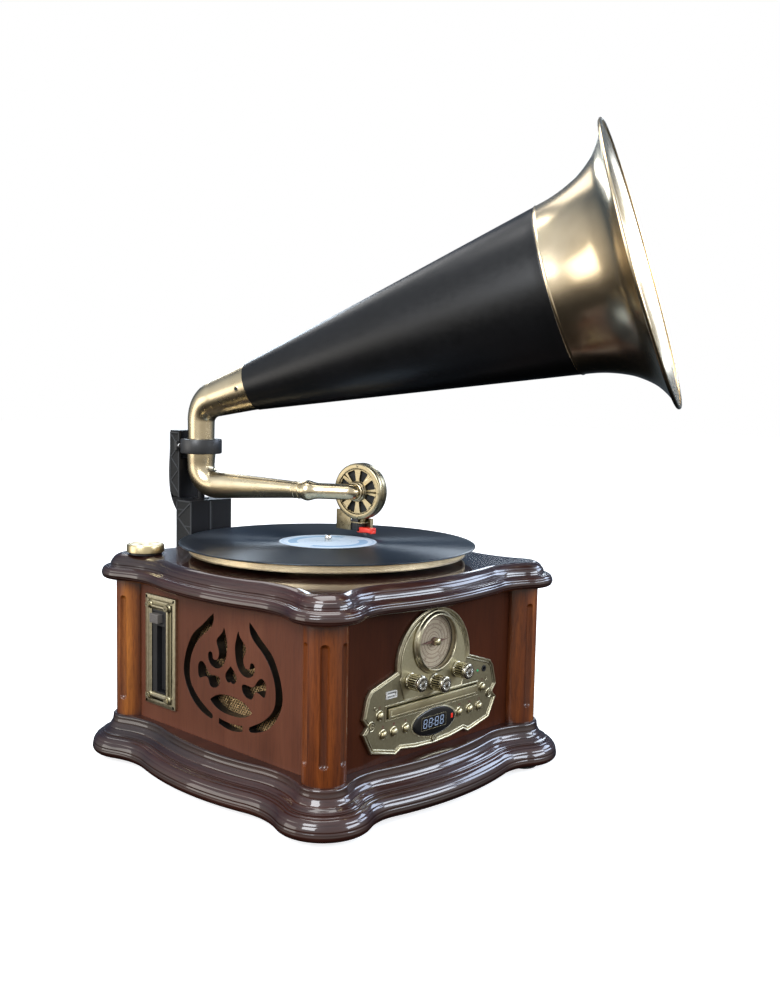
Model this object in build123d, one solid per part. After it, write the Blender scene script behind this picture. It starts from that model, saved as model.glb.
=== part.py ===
from build123d import *
import os
from math import sin, cos, acos, radians, pi, atan2, degrees, hypot

# Table-top phonograph: a serpentine wooden cabinet with a turntable on top, a swinging
# tone arm, a large tapered horn carried by a rear bracket, and radio, disc and cassette
# controls. Millimetres. Origin: centre of the cabinet on the surface it stands on.
# +X right seen from the front, +Y to the rear, +Z up. The front panel faces -Y.

os.makedirs("parts", exist_ok=True)

# ---- driving dimensions -------------------------------------------------------------
COL_X, COL_Y = 134.8, 142.35        # corner column centres, half spacings
COL_R = 19.4                        # column radius
COL_Z0, COL_Z1 = 45.0, 187.4        # column foot and head
PAN_X, PAN_Y = 140.7, 144.9         # outer faces of side and front panels
PAN_T = 9.0                         # panel thickness
BASE_Z0, BASE_Z1 = 6.2, 45.0        # base moulding
TOP_Z0, TOP_Z1 = 185.0, 210.0       # top board
TT_X, TT_Y = 4.0, 4.0               # turntable axis
PLAT_R, PLAT_Z0, PLAT_Z1 = 140.6, 214.4, 222.0
REC_R, REC_Z0, REC_Z1 = 150.8, 223.0, 224.7
SPINDLE_R, SPINDLE_TOP = 3.6, 231.6
POST_X, POST_Y = -27.4, 177.0       # vertical pivot axis of horn and tone arm
ARM_Z = 272.6                       # tone arm axis height
ARM_DIR = -70.0                     # tone arm direction in plan, degrees from +X
HORN_Z = 362.0                      # horn axis height on the pivot axis
HORN_DIR, HORN_EL = -64.1, 16.9     # horn axis direction in plan, and elevation
KNOB_R, KNOB_L = 7.7, 16.0
BTN_TRAVEL = 1.2
GAP = 0.3

def save(shape, name):
    export_step(shape if not isinstance(shape, (list, tuple)) else Compound(children=list(shape)), f"parts/{name}.step")

def box(x0, x1, y0, y1, z0, z1):
    return Pos((x0+x1)/2, (y0+y1)/2, (z0+z1)/2) * Box(abs(x1-x0), abs(y1-y0), abs(z1-z0))

def cyl(x, y, z0, z1, r):
    return Pos(x, y, (z0+z1)/2) * Cylinder(r, z1-z0)

def cyl_y(x, z, y0, y1, r):
    return Pos(x, (y0+y1)/2, z) * Rot(90, 0, 0) * Cylinder(r, abs(y1-y0))

def cyl_x(y, z, x0, x1, r):
    return Pos((x0+x1)/2, y, z) * Rot(0, 90, 0) * Cylinder(r, abs(x1-x0))

def one(shape):
    s = shape.solids()
    return s[0] if len(s) == 1 else shape

# ---- serpentine plan outline ---------------------------------------------------------
# Round ears on the columns, hollow curves beside them and a swell in the middle of each
# side, all as tangent arcs.
def side_arcs(ex, ey, swell, hollow, hollow_at):
    # local frame: side runs along u, outward is +v; ear centre (ex, ey)
    d = hollow - ey
    du = ex - hollow_at
    rc = (du*du/(COL_R - d) - (COL_R + d)) / 2
    cv, cu = hollow + rc, hollow_at
    k = cv - swell
    rb = (rc*rc - k*k - cu*cu) / (2*(k - rc))
    bv = swell - rb
    # tangent points
    L = hypot(cu - ex, cv - ey)
    t1 = (ex + COL_R*(cu-ex)/L, ey + COL_R*(cv-ey)/L)
    L2 = hypot(cu, cv - bv)
    t2 = (rb*cu/L2, bv + rb*(cv-bv)/L2)
    return dict(t1=t1, t2=t2, c=(cu, cv), rc=rc, rb=rb, b=(0, bv))

SIDE = side_arcs(COL_Y, COL_X, 156.0, 144.6, 95.0)     # left and right sides, u = y
FRONT = side_arcs(COL_X, COL_Y, 161.0, 150.4, 90.0)    # front and rear, u = x

def arc_mid(c, p, q):
    mx, my = (p[0]+q[0])/2 - c[0], (p[1]+q[1])/2 - c[1]
    r = hypot(p[0]-c[0], p[1]-c[1]); L = hypot(mx, my)
    return (c[0]+mx*r/L, c[1]+my*r/L)

def outline(o, z=0.0):
    """Closed wire of the plan outline, moved outwards by o."""
    def shift(c, p, sgn):
        r = hypot(p[0]-c[0], p[1]-c[1]); k = (r + sgn*o)/r
        return (c[0]+(p[0]-c[0])*k, c[1]+(p[1]-c[1])*k)
    edges = []
    def side(S, f, ear):
        # from -u ear to +u ear
        e1, e2 = (-ear[0], ear[1]), (ear[0], ear[1])
        c1, c2 = (-S["c"][0], S["c"][1]), S["c"]
        p1 = shift(e1, (-S["t1"][0], S["t1"][1]), 1)
        p2 = shift(S["b"], (-S["t2"][0], S["t2"][1]), 1)
        p3 = shift(S["b"], S["t2"], 1)
        p4 = shift(e2, S["t1"], 1)
        m1 = arc_mid(c1, p1, p2); m2 = arc_mid(S["b"], p2, p3); m3 = arc_mid(c2, p3, p4)
        P = [f(*p) for p in (p1, m1, p2, m2, p3, m3, p4)]
        return P
    # counter-clockwise: front (u = x, outward -y) goes +x ; right (u = y, outward +x)
    fr = side(FRONT, lambda u, v: (u, -v), (COL_X, COL_Y))
    ri = side(SIDE, lambda u, v: (v, u), (COL_Y, COL_X))
    re = side(FRONT, lambda u, v: (-u, v), (COL_X, COL_Y))
    le = side(SIDE, lambda u, v: (-v, -u), (COL_Y, COL_X))
    sides = [fr, ri, re, le]
    ears = [(COL_X, -COL_Y), (COL_X, COL_Y), (-COL_X, COL_Y), (-COL_X, -COL_Y)]
    R = COL_R + o
    for i, s in enumerate(sides):
        for a, b, c in ((0, 1, 2), (2, 3, 4), (4, 5, 6)):
            edges.append(ThreePointArc((*s[a], z), (*s[b], z), (*s[c], z)))
        nxt = sides[(i+1) % 4][0]; e = ears[i]
        k = R / hypot(e[0], e[1])
        # the ear's outermost point lies on the diagonal through its centre
        a0 = atan2(s[6][1]-e[1], s[6][0]-e[0]); a1 = atan2(nxt[1]-e[1], nxt[0]-e[0])
        while a1 < a0: a1 += 2*pi
        am = (a0+a1)/2
        edges.append(ThreePointArc((*s[6], z), (e[0]+R*cos(am), e[1]+R*sin(am), z), (*nxt, z)))
    return Wire(edges)

def ring(profile, inner):
    """A moulding: the profile, a list of (o, z) points and arcs ("a", mid, end), run round the outline."""
    path = outline(0.0, 0.0)
    first = path.edges()[0]
    s0, t0 = first @ 0.0, first % 0.0
    out = Vector(t0.Y, -t0.X, 0)
    if out.dot(s0) < 0: out = -out
    pl = Plane(origin=s0, x_dir=out, z_dir=out.cross(Vector(0, 0, 1)))
    es, cur = [], profile[0]
    for p in profile[1:]:
        if p[0] == "a":
            es.append(ThreePointArc((cur[0], cur[1]), p[1], p[2])); cur = p[2]
        else:
            es.append(Line((cur[0], cur[1]), p)); cur = p
    es.append(Line((cur[0], cur[1]), (-inner, cur[1])))
    es.append(Line((-inner, cur[1]), (-inner, profile[0][1])))
    es.append(Line((-inner, profile[0][1]), (profile[0][0], profile[0][1])))
    return sweep(pl * Face(Wire(es)), path=path)

# ---- base ----------------------------------------------------------------------------
base_profile = [(1.6, BASE_Z1), ("a", (2.9, 44.3), (3.4, 43.0)),
                ("a", (6.2, 33.9), (13.0, 28.2)), (14.4, 27.6), (14.4, 26.3),
                ("a", (21.6, 21.0), (24.2, 13.0)), ("a", (23.4, 8.2), (19.0, BASE_Z0))]
base_ring = ring(base_profile, 6.0)
base_slab = extrude(Face(outline(-5.5)), BASE_Z1 - BASE_Z0, dir=(0, 0, 1))
base = Pos(0, 0, BASE_Z0) * base_slab + base_ring
base = base - box(-117, 117, -124, 124, 0, 60)
base_rebate = box(-122, 122, -129, 129, 0, 12.2)
base = base - base_rebate
save(one(base), "base_moulding")

bottom = box(-121.5, 121.5, -128.5, 128.5, 8.2, 12.2)
for i in range(-4, 5):
    bottom -= box(i*14-3, i*14+3, -60, -20, 0, 20)
for sx in (-1, 1):
    for sy in (-1, 1):
        bottom -= cyl(sx*116, sy*122, 0, 20, 1.7)
save(one(bottom), "bottom_board")

foot = cyl(0, 0, 1.2, 6.2, 15.0) + Pos(0, 0, 0.6) * Cone(13.8, 15.0, 1.2)
foot -= cyl(0, 0, -1, 3.2, 4.2)
save([Pos(sx*131, sy*157, 0) * one(foot) for sx in (-1, 1) for sy in (-1, 1)], "feet")

# ---- columns -------------------------------------------------------------------------
cols = []
for sx in (-1, 1):
    for sy in (-1, 1):
        c = cyl(COL_X, COL_Y, COL_Z0, COL_Z1 - 2.4, COL_R)
        for a in (-15, 45, 105):
            dx, dy = cos(radians(a)), sin(radians(a))
            fx, fy = COL_X + 20.6*dx, COL_Y + 20.6*dy
            c -= cyl(fx, fy, 65.0, 164.4, 4.1)
            c -= Pos(fx, fy, 65.0) * Sphere(4.1)
            c -= Pos(fx, fy, 164.4) * Sphere(4.1)
        c -= box(PAN_X - PAN_T, PAN_X, 0, 127.0, 0, 300)
        c -= box(0, 119.4, PAN_Y - PAN_T, PAN_Y, 0, 300)
        c = one(c)
        if sx < 0: c = mirror(c, Plane.YZ)
        if sy < 0: c = mirror(c, Plane.XZ)
        cols.append(c)
save(cols, "corner_columns")

# ---- panels --------------------------------------------------------------------------
FRET_Y, PZ0, PZ1 = -21.3, COL_Z0, TOP_Z0
def spl(pts, closed=True):
    return Spline(*pts, periodic=closed)
def half_shape(pts_list):
    """A closed face from open splines joined at corners."""
    es = [Spline(*p) if len(p) > 2 else Line(*p) for p in pts_list]
    return Face(Wire(es))
side_arc = half_shape([
    [(26.4, 169.2), (33.5, 164.0), (43.0, 156.0), (57.5, 145.0), (66.0, 132.5), (71.3, 119.0), (73.0, 107.0), (70.2, 96.0), (65.5, 88.0), (58.5, 80.0), (45.5, 72.0), (30.0, 67.5)],
    [(30.0, 67.5), (27.0, 69.0), (27.6, 72.0)],
    [(27.6, 72.0), (42.4, 79.4), (56.0, 89.5), (62.0, 98.0), (63.4, 107.0), (61.4, 121.0), (55.0, 133.4), (42.7, 145.8), (29.6, 156.0), (26.4, 169.2)]])
scroll = Face(Wire([Spline(*[(11.0, 157.4), (15.8, 150.5), (21.8, 143.0), (19.0, 136.6), (18.2, 130.0), (22.0, 125.4), (26.8, 126.0), (28.8, 131.4), (32.6, 131.4), (34.2, 125.0), (27.0, 118.0), (16.8, 118.6), (9.0, 126.2), (6.0, 137.0), (7.4, 150.2)], periodic=True)]))
bow = Face(Wire([Spline(*[(43.4, 120.2), (37.6, 115.8), (32.6, 110.4), (24.0, 110.2), (16.4, 108.4), (17.0, 103.6), (25.2, 98.2), (31.4, 99.4), (34.6, 105.6), (42.6, 105.2), (47.8, 103.8), (50.0, 110.2), (48.4, 118.2)], periodic=True)]))
drop = half_shape([[(0, 123.6), (5.2, 118.6), (8.2, 112.0), (5.2, 108.0), (0, 108.8)], [(0, 108.8), (-5.2, 108.0), (-8.2, 112.0), (-5.2, 118.6), (0, 123.6)]])
leaf = half_shape([[(-31.0, 85.6), (-22.0, 91.6), (0, 95.2), (22.0, 91.6), (31.0, 85.6)], [(31.0, 85.6), (20.0, 79.4), (0, 77.0), (-20.0, 79.4), (-31.0, 85.6)]])
foot_arc = half_shape([[(-17.6, 70.8), (0, 69.2), (17.6, 70.8)], [(17.6, 70.8), (17.6, 65.6)], [(17.6, 65.6), (0, 62.8), (-17.6, 65.6)], [(-17.6, 65.6), (-17.6, 70.8)]])
fret_faces = [side_arc, mirror(side_arc, Plane.YZ), scroll, mirror(scroll, Plane.YZ), bow, mirror(bow, Plane.YZ), drop, leaf, foot_arc]

def fret_cut():
    """Fretwork prisms for the left panel, from x = -150 to x = -125."""
    out = []
    for f in fret_faces:
        f = f.faces()[0] if hasattr(f, "faces") else f
        # local (u, z) -> world (x, y = FRET_Y + u, z); plane with x along +Y, normal +X
        pl = Plane(origin=(-150, FRET_Y, 0), x_dir=(0, 1, 0), z_dir=(1, 0, 0))
        g = pl * f
        out.append(extrude(g, amount=25, dir=(1, 0, 0)))
    return out
frets = fret_cut()

BZ_Y0, BZ_Y1, BZ_Z0, BZ_Z1 = 61.9, 112.3, 62.8, 173.8      # cassette bezel
left = box(-PAN_X, -PAN_X+PAN_T, -126.9, 126.9, PZ0, PZ1)
for f in frets: left -= f
left -= box(-150, -120, 77.0, 102.4, 75.2, 159.6)
CSCR = [(73.6, 71.4), (104.6, 71.4), (73.6, 163.2), (104.6, 163.2)]
for y, z in CSCR: left -= cyl_x(y, z, -150, -120, 1.55)
save(one(left), "left_panel")

right = box(-PAN_X, -PAN_X+PAN_T, -126.9, 126.9, PZ0, PZ1)
for f in frets: right -= f
save(one(mirror(right, Plane.YZ)), "right_panel")

front = box(-119.3, 119.3, -PAN_Y, -PAN_Y+PAN_T, PZ0, PZ1)
front -= cyl_y(0, 147.4, -160, -130, 26.5)
front -= box(-70, 70, -160, -130, 84.5, 97.5)
front -= box(-28, 30, -160, -130, 61, 81)
for x in (-33, 0, 33): front -= cyl_y(x, 115.5 if x else 109.0, -160, -130, 4.5)
for x, z in ((72.2, 90.6), (67.9, 72.4), (53.6, 72.4), (37.8, 72.4)):
    for s in (-1, 1): front -= cyl_y(s*x, z, -160, -130, 4.2)
front -= box(-66, -50, -160, -130, 102.5, 112.5)
front -= cyl_y(74.6, 108.9, -160, -130, 4.5)
SCR = [(-83.2, 82.8), (83.2, 82.8), (1.2, 54.8)]
for x, z in SCR: front -= cyl_y(x, z, -160, -130, 1.55)
save(one(front), "front_panel")

rear = box(-119.3, 119.3, PAN_Y-PAN_T, PAN_Y, PZ0, PZ1)
rear -= box(54, 78, 130, 160, 60, 76)
for x in (-75, -61): rear -= cyl_y(x, 68, 130, 160, 5.4)
for i in range(6): rear -= box(20+i*9, 24+i*9, 130, 160, 100, 140)
for z in (112, 168):
    for x in (-44, -11): rear -= cyl_y(x, z, 130, 160, 1.65)
save(one(rear), "rear_panel")

# ---- top board -----------------------------------------------------------------------
top_profile = [(-4.0, TOP_Z1), ("a", (2.2, 206.4), (5.6, 200.8)), (5.6, 198.6), (7.6, 198.2),
               ("a", (13.4, 195.4), (14.6, 191.6)), ("a", (13.2, 187.0), (9.0, 185.6)), (2.0, TOP_Z0)]
top_ring = ring(top_profile, 9.0)
top = Pos(0, 0, TOP_Z0) * extrude(Face(outline(-8.5)), TOP_Z1-TOP_Z0, dir=(0, 0, 1)) + top_ring
top -= box(-112, 112, -118, 118, 180, 198)
MOT_X, MOT_Y = TT_X - 67.2, TT_Y + 67.2
top -= cyl(TT_X, TT_Y, 150, 230, 9.0)
top -= cyl(MOT_X, MOT_Y, 150, 230, 8.0)
top -= box(-55.0, 0.2, PAN_Y+1.0, 230, 150, 230)          # notch for the bracket
ADP_X, ADP_Y = -133.4, 127.2
save(one(top), "top_board")

# ---- faceplate -----------------------------------------------------------------------
FP0, FP1 = -PAN_Y-3.6, -PAN_Y                       # front and back of the plate
half = [(0, 49.4), (24, 50.6), (44.5, 53.6), (51.4, 50.0), (83.5, 57.8), (94.4, 77.4), (88.6, 83.4), (94.2, 90.6), (88.8, 110.4), (84.0, 116.4), (51.4, 127.0)]
pts = half + [(-x, z) for x, z in reversed(half[1:])]
es = [Line(pts[i], pts[i+1]) for i in range(len(half)-1)]
es.append(ThreePointArc((51.4, 127.0), (0, 180.2), (-51.4, 127.0)))
es += [Line(pts[i], pts[i+1]) for i in range(len(half), len(pts)-1)]
es.append(Line(pts[-1], pts[0]))
fp_face = Face(Wire(es))
pl_f = Plane(origin=(0, FP1, 0), x_dir=(1, 0, 0), z_dir=(0, -1, 0))
fp = extrude(pl_f * fp_face, amount=FP1-FP0, dir=(0, -1, 0))
inner = offset(fp_face, amount=-4.6, kind=Kind.INTERSECTION)
inner = inner.faces()[0]
fp -= extrude(Plane(origin=(0, FP0, 0), x_dir=(1, 0, 0), z_dir=(0, -1, 0)) * inner, amount=1.0, dir=(0, 1, 0))
fp -= cyl_y(0, 147.4, -160, -130, 26.2)
fp -= box(-63.6, 63.6, -160, -130, 85.4, 96.2)
fp -= box(-27.6, 29.6, -160, -130, 61.2, 80.8)
for x in (-33, 0, 33): fp -= cyl_y(x, 115.5 if x else 109.0, -160, -130, 3.6)
BTN = [(-72.2, 90.6), (-67.9, 72.4), (-53.6, 72.4), (-37.8, 72.4), (72.2, 90.6), (37.8, 72.4), (53.6, 72.4), (67.9, 72.4)]
for x, z in BTN: fp -= cyl_y(x, z, -160, -130, 3.95)
fp -= box(-65.2, -51.2, -160, -130, 104.0, 111.0)
fp -= cyl_y(74.6, 108.9, -160, -130, 3.2)
for x, z in SCR:
    fp -= cyl_y(x, z, -160, -130, 1.6)
    fp -= cyl_y(x, z, FP0-1, FP0+1.0, 3.5)
fp -= cyl_y(0, 147.4, FP0-1, FP0+1.0, 30.35)
save(one(fp), "faceplate")

# dial
bez = cyl_y(0, 147.4, FP0+1.0-5.4, FP0+1.0, 30.2) - cyl_y(0, 147.4, -170, -100, 25.4)
save(one(bez), "dial_bezel")
save(one(cyl_y(0, 147.4, -145.6, -144.0, 26.0) - cyl_y(0, 147.4, -170, -100, 2.6)), "dial_card")
save(one(cyl_y(0, 147.4, -151.6, -150.2, 25.3) - cyl_y(0, 147.4, -170, -100, 3.9)), "dial_glass")
ptr = box(-17, 17, -148.0, -147.2, 146.2, 148.6) + cyl_y(0, 147.4, -149.4, -146.6, 4.0) + cyl_y(0, 147.4, -153.6, -149.4, 3.5) + cyl_y(0, 147.4, -146.6, -136.0, 2.2)
save(one(ptr), "dial_pointer")

# knobs: ribbed barrel with a faceted face, shaft into the panel
def knob(x, z):
    k = cyl_y(x, z, FP0+0.7, FP0+0.7-KNOB_L, KNOB_R)
    k = chamfer(k.faces().sort_by(Axis.Y)[0].edges(), 1.6)
    for i in range(12):
        a = radians(i*30)
        k -= cyl_y(x+(KNOB_R+0.7)*cos(a), z+(KNOB_R+0.7)*sin(a), FP0-2.5, FP0-11.5, 1.5)
    k += cyl_y(x, z, FP0+0.65, -128.0, 3.0)
    return one(k)
save(knob(-33, 115.5), "volume_knob")
save(knob(0, 109.0), "function_knob")
save(knob(33, 115.5), "tuning_knob")

BTN_NAMES = ["power_button", "eject_button", "stop_button", "play_button", "mode_button", "previous_button", "next_button", "repeat_button"]
for (x, z), n in zip(BTN, BTN_NAMES):
    b = cyl_y(x, z, FP0+0.9, FP0-2.2, 3.75)
    b = fillet(b.faces().sort_by(Axis.Y)[0].edges(), 1.6)
    b += cyl_y(x, z, FP0+0.9, FP1+0.6, 3.75)
    b += cyl_y(x, z, FP1+0.6, -134.4, 2.2)
    save(one(b), n)

# display window, sockets
win = extrude(Plane(origin=(1.0, FP0+1.0, 71.0), x_dir=(1, 0, 0), z_dir=(0, -1, 0)) * Ellipse(29.8, 13.0), amount=1.9, dir=(0, -1, 0))
win += box(-27.0, 29.0, FP0+1.0, -139.0, 61.8, 80.2)
save(one(win), "display_window")

usb = box(-64.9, -51.5, FP0-0.4, -132.0, 104.3, 110.7) - box(-64.3, -52.1, -160, -136.0, 104.9, 110.1)
usb += box(-63.0, -53.4, FP0+0.6, -135.9, 106.4, 108.2)
save(one(usb), "usb_socket")
jack = cyl_y(74.6, 108.9, FP0+0.4, -130.0, 3.1) - cyl_y(74.6, 108.9, -160, -134.0, 1.8)
jack += cyl_y(74.6, 108.9, -130.0, -129.0, 3.1) + box(70.6, 78.6, -134.5, -129.0, 104.9, 112.9) - cyl_y(74.6, 108.9, -160, -134.6, 1.8)
save(one(jack), "headphone_socket")

# ---- compact disc drawer -------------------------------------------------------------
mech = box(-67, 67, -135.6, 4, 82.6, 103) - box(-63.8, 63.8, -150, 1, 84.8, 97.6)
save(one(mech), "cd_mechanism")
tray = box(-62.4, 62.4, FP0-1.4, FP0+3.0, 86.4, 95.2) + box(-61.4, 61.4, FP0+3.0, -9.0, 86.8, 92.4)
tray -= cyl(0, -74.0, 89.4, 100, 60.6)
tray -= cyl(0, -74.0, 80, 100, 18.0)
save(one(tray), "cd_tray")

# ---- cassette deck -------------------------------------------------------------------
bz = box(-PAN_X-3.4, -PAN_X, BZ_Y0, BZ_Y1, BZ_Z0, BZ_Z1)
bz = chamfer(bz.faces().sort_by(Axis.X)[0].edges(), 1.4)
bz += box(-PAN_X-5.0, -PAN_X-3.0, 69.4, 108.8, 67.0, 167.6)
bz -= box(-160, -120, 77.2, 102.2, 75.4, 159.4)
for y, z in CSCR: bz -= cyl_x(y, z, -160, -120, 1.6)
save(one(bz), "cassette_bezel")

deck = box(-PAN_X-2.0, -26, 77.4, 102.0, 75.6, 159.2)
deck -= box(-160, -32, 79.6, 92.4, 77.4, 142.6)                      # cassette space
deck -= box(-160, -118, 84.4, 100.2, 145.6, 156.6)                   # eject key space
deck -= box(-160, -130, 78.4, 93.6, 76.6, 143.4)
save(one(deck), "cassette_mechanism")
key = box(-PAN_X-7.4, -122.0, 85.4, 99.2, 146.4, 155.8)
save(one(key), "eject_key")
flap = box(-137.6, -136.2, 79.2, 91.4, 77.9, 142.1) + cyl(-136.9, 92.0, 77.9, 142.1, 0.9)
save(one(flap), "cassette_flap")

# ---- screws: the same small countersunk screw everywhere on the cabinet ----------------
scr = []
def screw_y(x, z, y, d=-1):
    s = cyl_y(x, z, y, y+d*1.6, 3.0) + cyl_y(x, z, y, y-d*9.0, 1.5)
    s -= box(x-2.4, x+2.4, y+d*0.9, y+d*3, z-0.45, z+0.45)
    s -= box(x-0.45, x+0.45, y+d*0.9, y+d*3, z-2.4, z+2.4)
    return one(s)
for x, z in SCR: scr.append(screw_y(x, z, FP0+1.0 if z > 60 else FP0+1.0))
for y, z in CSCR:
    s = cyl_x(y, z, -PAN_X-5.0, -PAN_X-6.6, 2.9) + cyl_x(y, z, -PAN_X-5.0, -PAN_X+4.0, 1.5)
    s -= box(-PAN_X-8, -PAN_X-5.9, y-2.3, y+2.3, z-0.45, z+0.45)
    s -= box(-PAN_X-8, -PAN_X-5.9, y-0.45, y+0.45, z-2.3, z+2.3)
    scr.append(one(s))
for z in (112, 168):
    for x in (-44, -11):
        scr.append(one(cyl_y(x, z, PAN_Y-8.0, PAN_Y+6.0, 1.5) + cyl_y(x, z, PAN_Y+6.0, PAN_Y+7.6, 3.0)))
save(scr, "screws")

# ---- loudspeakers ---------------------------------------------------------------------
def speaker():
    p = [(-131.4, 0), (-131.4, 78), (-129.6, 78), (-129.6, 0)]
    s = cyl_x(FRET_Y, 112, -128.8, -125.6, 47.0) - cyl_x(FRET_Y, 112, -140, -100, 40.0)
    cone_o = Pos(-125.6, FRET_Y, 112) * Rot(0, 90, 0) * Cone(43.0, 20.0, 20.0, align=(Align.CENTER, Align.CENTER, Align.MIN))
    cone_i = Pos(-128.0, FRET_Y, 112) * Rot(0, 90, 0) * Cone(42.4, 17.4, 20.0, align=(Align.CENTER, Align.CENTER, Align.MIN))
    s += cone_o
    s -= cone_i
    s += cyl_x(FRET_Y, 112, -106.0, -92.0, 24.0)
    s += cyl_x(FRET_Y, 112, -112.0, -105.0, 8.0)
    return one(s)
sp = speaker()
save([sp, mirror(sp, Plane.YZ)], "loudspeakers")
mesh = box(-131.5, -130.5, FRET_Y-76, FRET_Y+76, 60.5, 172.5)
save([mesh, mirror(mesh, Plane.YZ)], "speaker_meshes")

# ---- electronics -----------------------------------------------------------------------
amp = box(-95, 25, 30, 66, 17.0, 18.6) + box(-90, -40, 34, 40, 18.6, 42)
for x in (-85, -60, 0, 18): amp += cyl(x, 56, 18.6, 34, 6)
for x in (-92, 22):
    for y in (33, 63): amp += cyl(x, y, 12.2, 17.0, 2.5)
cb = box(-86, 86, -132.9, -131.5, 56, 81.8)
cb += box(-24, 26, -138.9, -132.9, 63, 79)
tun = box(-46, 46, -127.0, -104.0, 105.0, 124.0)
save([one(amp), one(cb), one(tun)], "circuit_boards")
tr = box(50, 100, 60, 98, 12.2, 16.2) + box(55, 95, 62, 96, 16.2, 56) + box(62, 88, 54, 104, 22, 50)
save(one(tr), "transformer")
inlet = box(55, 77, 128, PAN_Y+1.4, 61, 75) + box(50, 82, PAN_Y, PAN_Y+1.4, 59, 77)
inlet -= box(58.2, 73.8, PAN_Y-11, PAN_Y+5, 64, 72)
for x in (61.7, 70.3): inlet += cyl_y(x, 68, PAN_Y-11.1, PAN_Y+0.4, 1.2)
save(one(inlet), "power_inlet")
rca = box(-86, -50, PAN_Y, PAN_Y+1.4, 58, 78)
for x in (-75, -61):
    rca += cyl_y(x, 68, 131.0, PAN_Y, 5.2)
    rca += cyl_y(x, 68, PAN_Y, PAN_Y+9.4, 4.15)
    rca -= cyl_y(x, 68, PAN_Y-4, PAN_Y+12, 1.7)
save(one(rca), "audio_sockets")

# ---- turntable -------------------------------------------------------------------------
brg = cyl(TT_X, TT_Y, 172, 210, 8.9) + cyl(TT_X, TT_Y, 210, 211.6, 16.0) - cyl(TT_X, TT_Y, 175, 230, 4.06)
save(one(brg), "spindle_bearing")
spn = cyl(TT_X, TT_Y, 176, 213.4, 4.0) + cyl(TT_X, TT_Y, 213.4, REC_Z1+0.1, 4.0) + cyl(TT_X, TT_Y, REC_Z1+0.1, SPINDLE_TOP-2.4, SPINDLE_R)
spn += Pos(TT_X, TT_Y, SPINDLE_TOP-2.4) * Cylinder(SPINDLE_R, 2.4, align=(Align.CENTER, Align.CENTER, Align.MIN))
spn = fillet(spn.faces().sort_by(Axis.Z)[-1].edges(), 2.0)
save(one(spn), "spindle")
pl = cyl(TT_X, TT_Y, PLAT_Z0, PLAT_Z1, PLAT_R) + cyl(TT_X, TT_Y, PLAT_Z1, REC_Z0, 136.0) - cyl(TT_X, TT_Y, 200, PLAT_Z1-2.2, PLAT_R-3.0)
pl += cyl(TT_X, TT_Y, 212.6, PLAT_Z1-2.2, 56.0) - cyl(TT_X, TT_Y, 200, PLAT_Z1-2.2, 53.4)
pl += cyl(TT_X, TT_Y, 213.4, PLAT_Z1-2.2, 12.0)
pl -= cyl(TT_X, TT_Y, 200, 240, 4.0)
save(one(pl), "platter")
rec = cyl(TT_X, TT_Y, REC_Z0, REC_Z1-0.3, REC_R) + cyl(TT_X, TT_Y, REC_Z0, REC_Z1, 50.5) - cyl(TT_X, TT_Y, 200, 240, 4.06)
rim = cyl(TT_X, TT_Y, REC_Z1-0.3, REC_Z1, REC_R-0.6) - cyl(TT_X, TT_Y, 200, 240, REC_R-3.4)
rec += rim
save(one(rec), "record")

mot = cyl(MOT_X, MOT_Y, 166, 197.9, 18.0) + cyl(MOT_X, MOT_Y, 196.4, 198.0, 24.0)
save(one(mot), "motor")
PUL_R = 5.0
pul = cyl(MOT_X, MOT_Y, 212.4, 219.0, PUL_R) + cyl(MOT_X, MOT_Y, 211.6, 212.4, PUL_R+1.6) + cyl(MOT_X, MOT_Y, 198.4, 211.6, 1.5)
save(one(pul), "motor_pulley")
dx, dy = MOT_X-TT_X, MOT_Y-TT_Y
D = hypot(dx, dy); base_a = degrees(atan2(dy, dx))
def belt_face(R1, R2):
    al = degrees(acos((R1-R2)/D))
    def P(cx, cy, R, a): return (cx+R*cos(radians(a)), cy+R*sin(radians(a)))
    a1, a2 = base_a+al, base_a-al
    A = P(TT_X, TT_Y, R1, a1); B = P(MOT_X, MOT_Y, R2, a1); C = P(MOT_X, MOT_Y, R2, a2); E = P(TT_X, TT_Y, R1, a2)
    return Face(Wire([Line(A, B), ThreePointArc(B, P(MOT_X, MOT_Y, R2, base_a), C), Line(C, E), ThreePointArc(E, P(TT_X, TT_Y, R1, base_a+180), A)]))
belt = extrude(Pos(0, 0, 213.4) * belt_face(57.1, 6.1), 4.6, dir=(0, 0, 1)) - extrude(Pos(0, 0, 213.0) * belt_face(56.3, 5.3), 6, dir=(0, 0, 1))
save(one(belt), "drive_belt")

# ---- 45 rpm adapter on its locating pin ------------------------------------------------
ad = cyl(ADP_X, ADP_Y, 212.6, 220.6, 18.6)
ad = fillet(ad.faces().sort_by(Axis.Z)[-1].edges(), 1.6)
ad += cyl(ADP_X, ADP_Y, 210.2, 212.6, 16.4)
ad -= cyl(ADP_X, ADP_Y, 200, 217.0, 3.7)
save(one(ad), "single_adapter")

# ---- rear bracket ----------------------------------------------------------------------
BR0, BR1 = 96.0, 256.4
br = box(-54, -0.8, 157.0, 185.0, 200.0, BR1)                       # head box
br += box(-54, -0.8, PAN_Y+1.6, 185.0, BR0, 202.0)                  # leg behind the cabinet
br -= box(-51, -3.8, PAN_Y+6.0, 181.5, BR0-5, 196.0)                # hollow from below
br -= box(-51, -3.8, 160.0, 181.5, 190.0, BR1-3.0)
br += box(-54, -0.8, PAN_Y, PAN_Y+4.0, BR0, 182.0)
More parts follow.
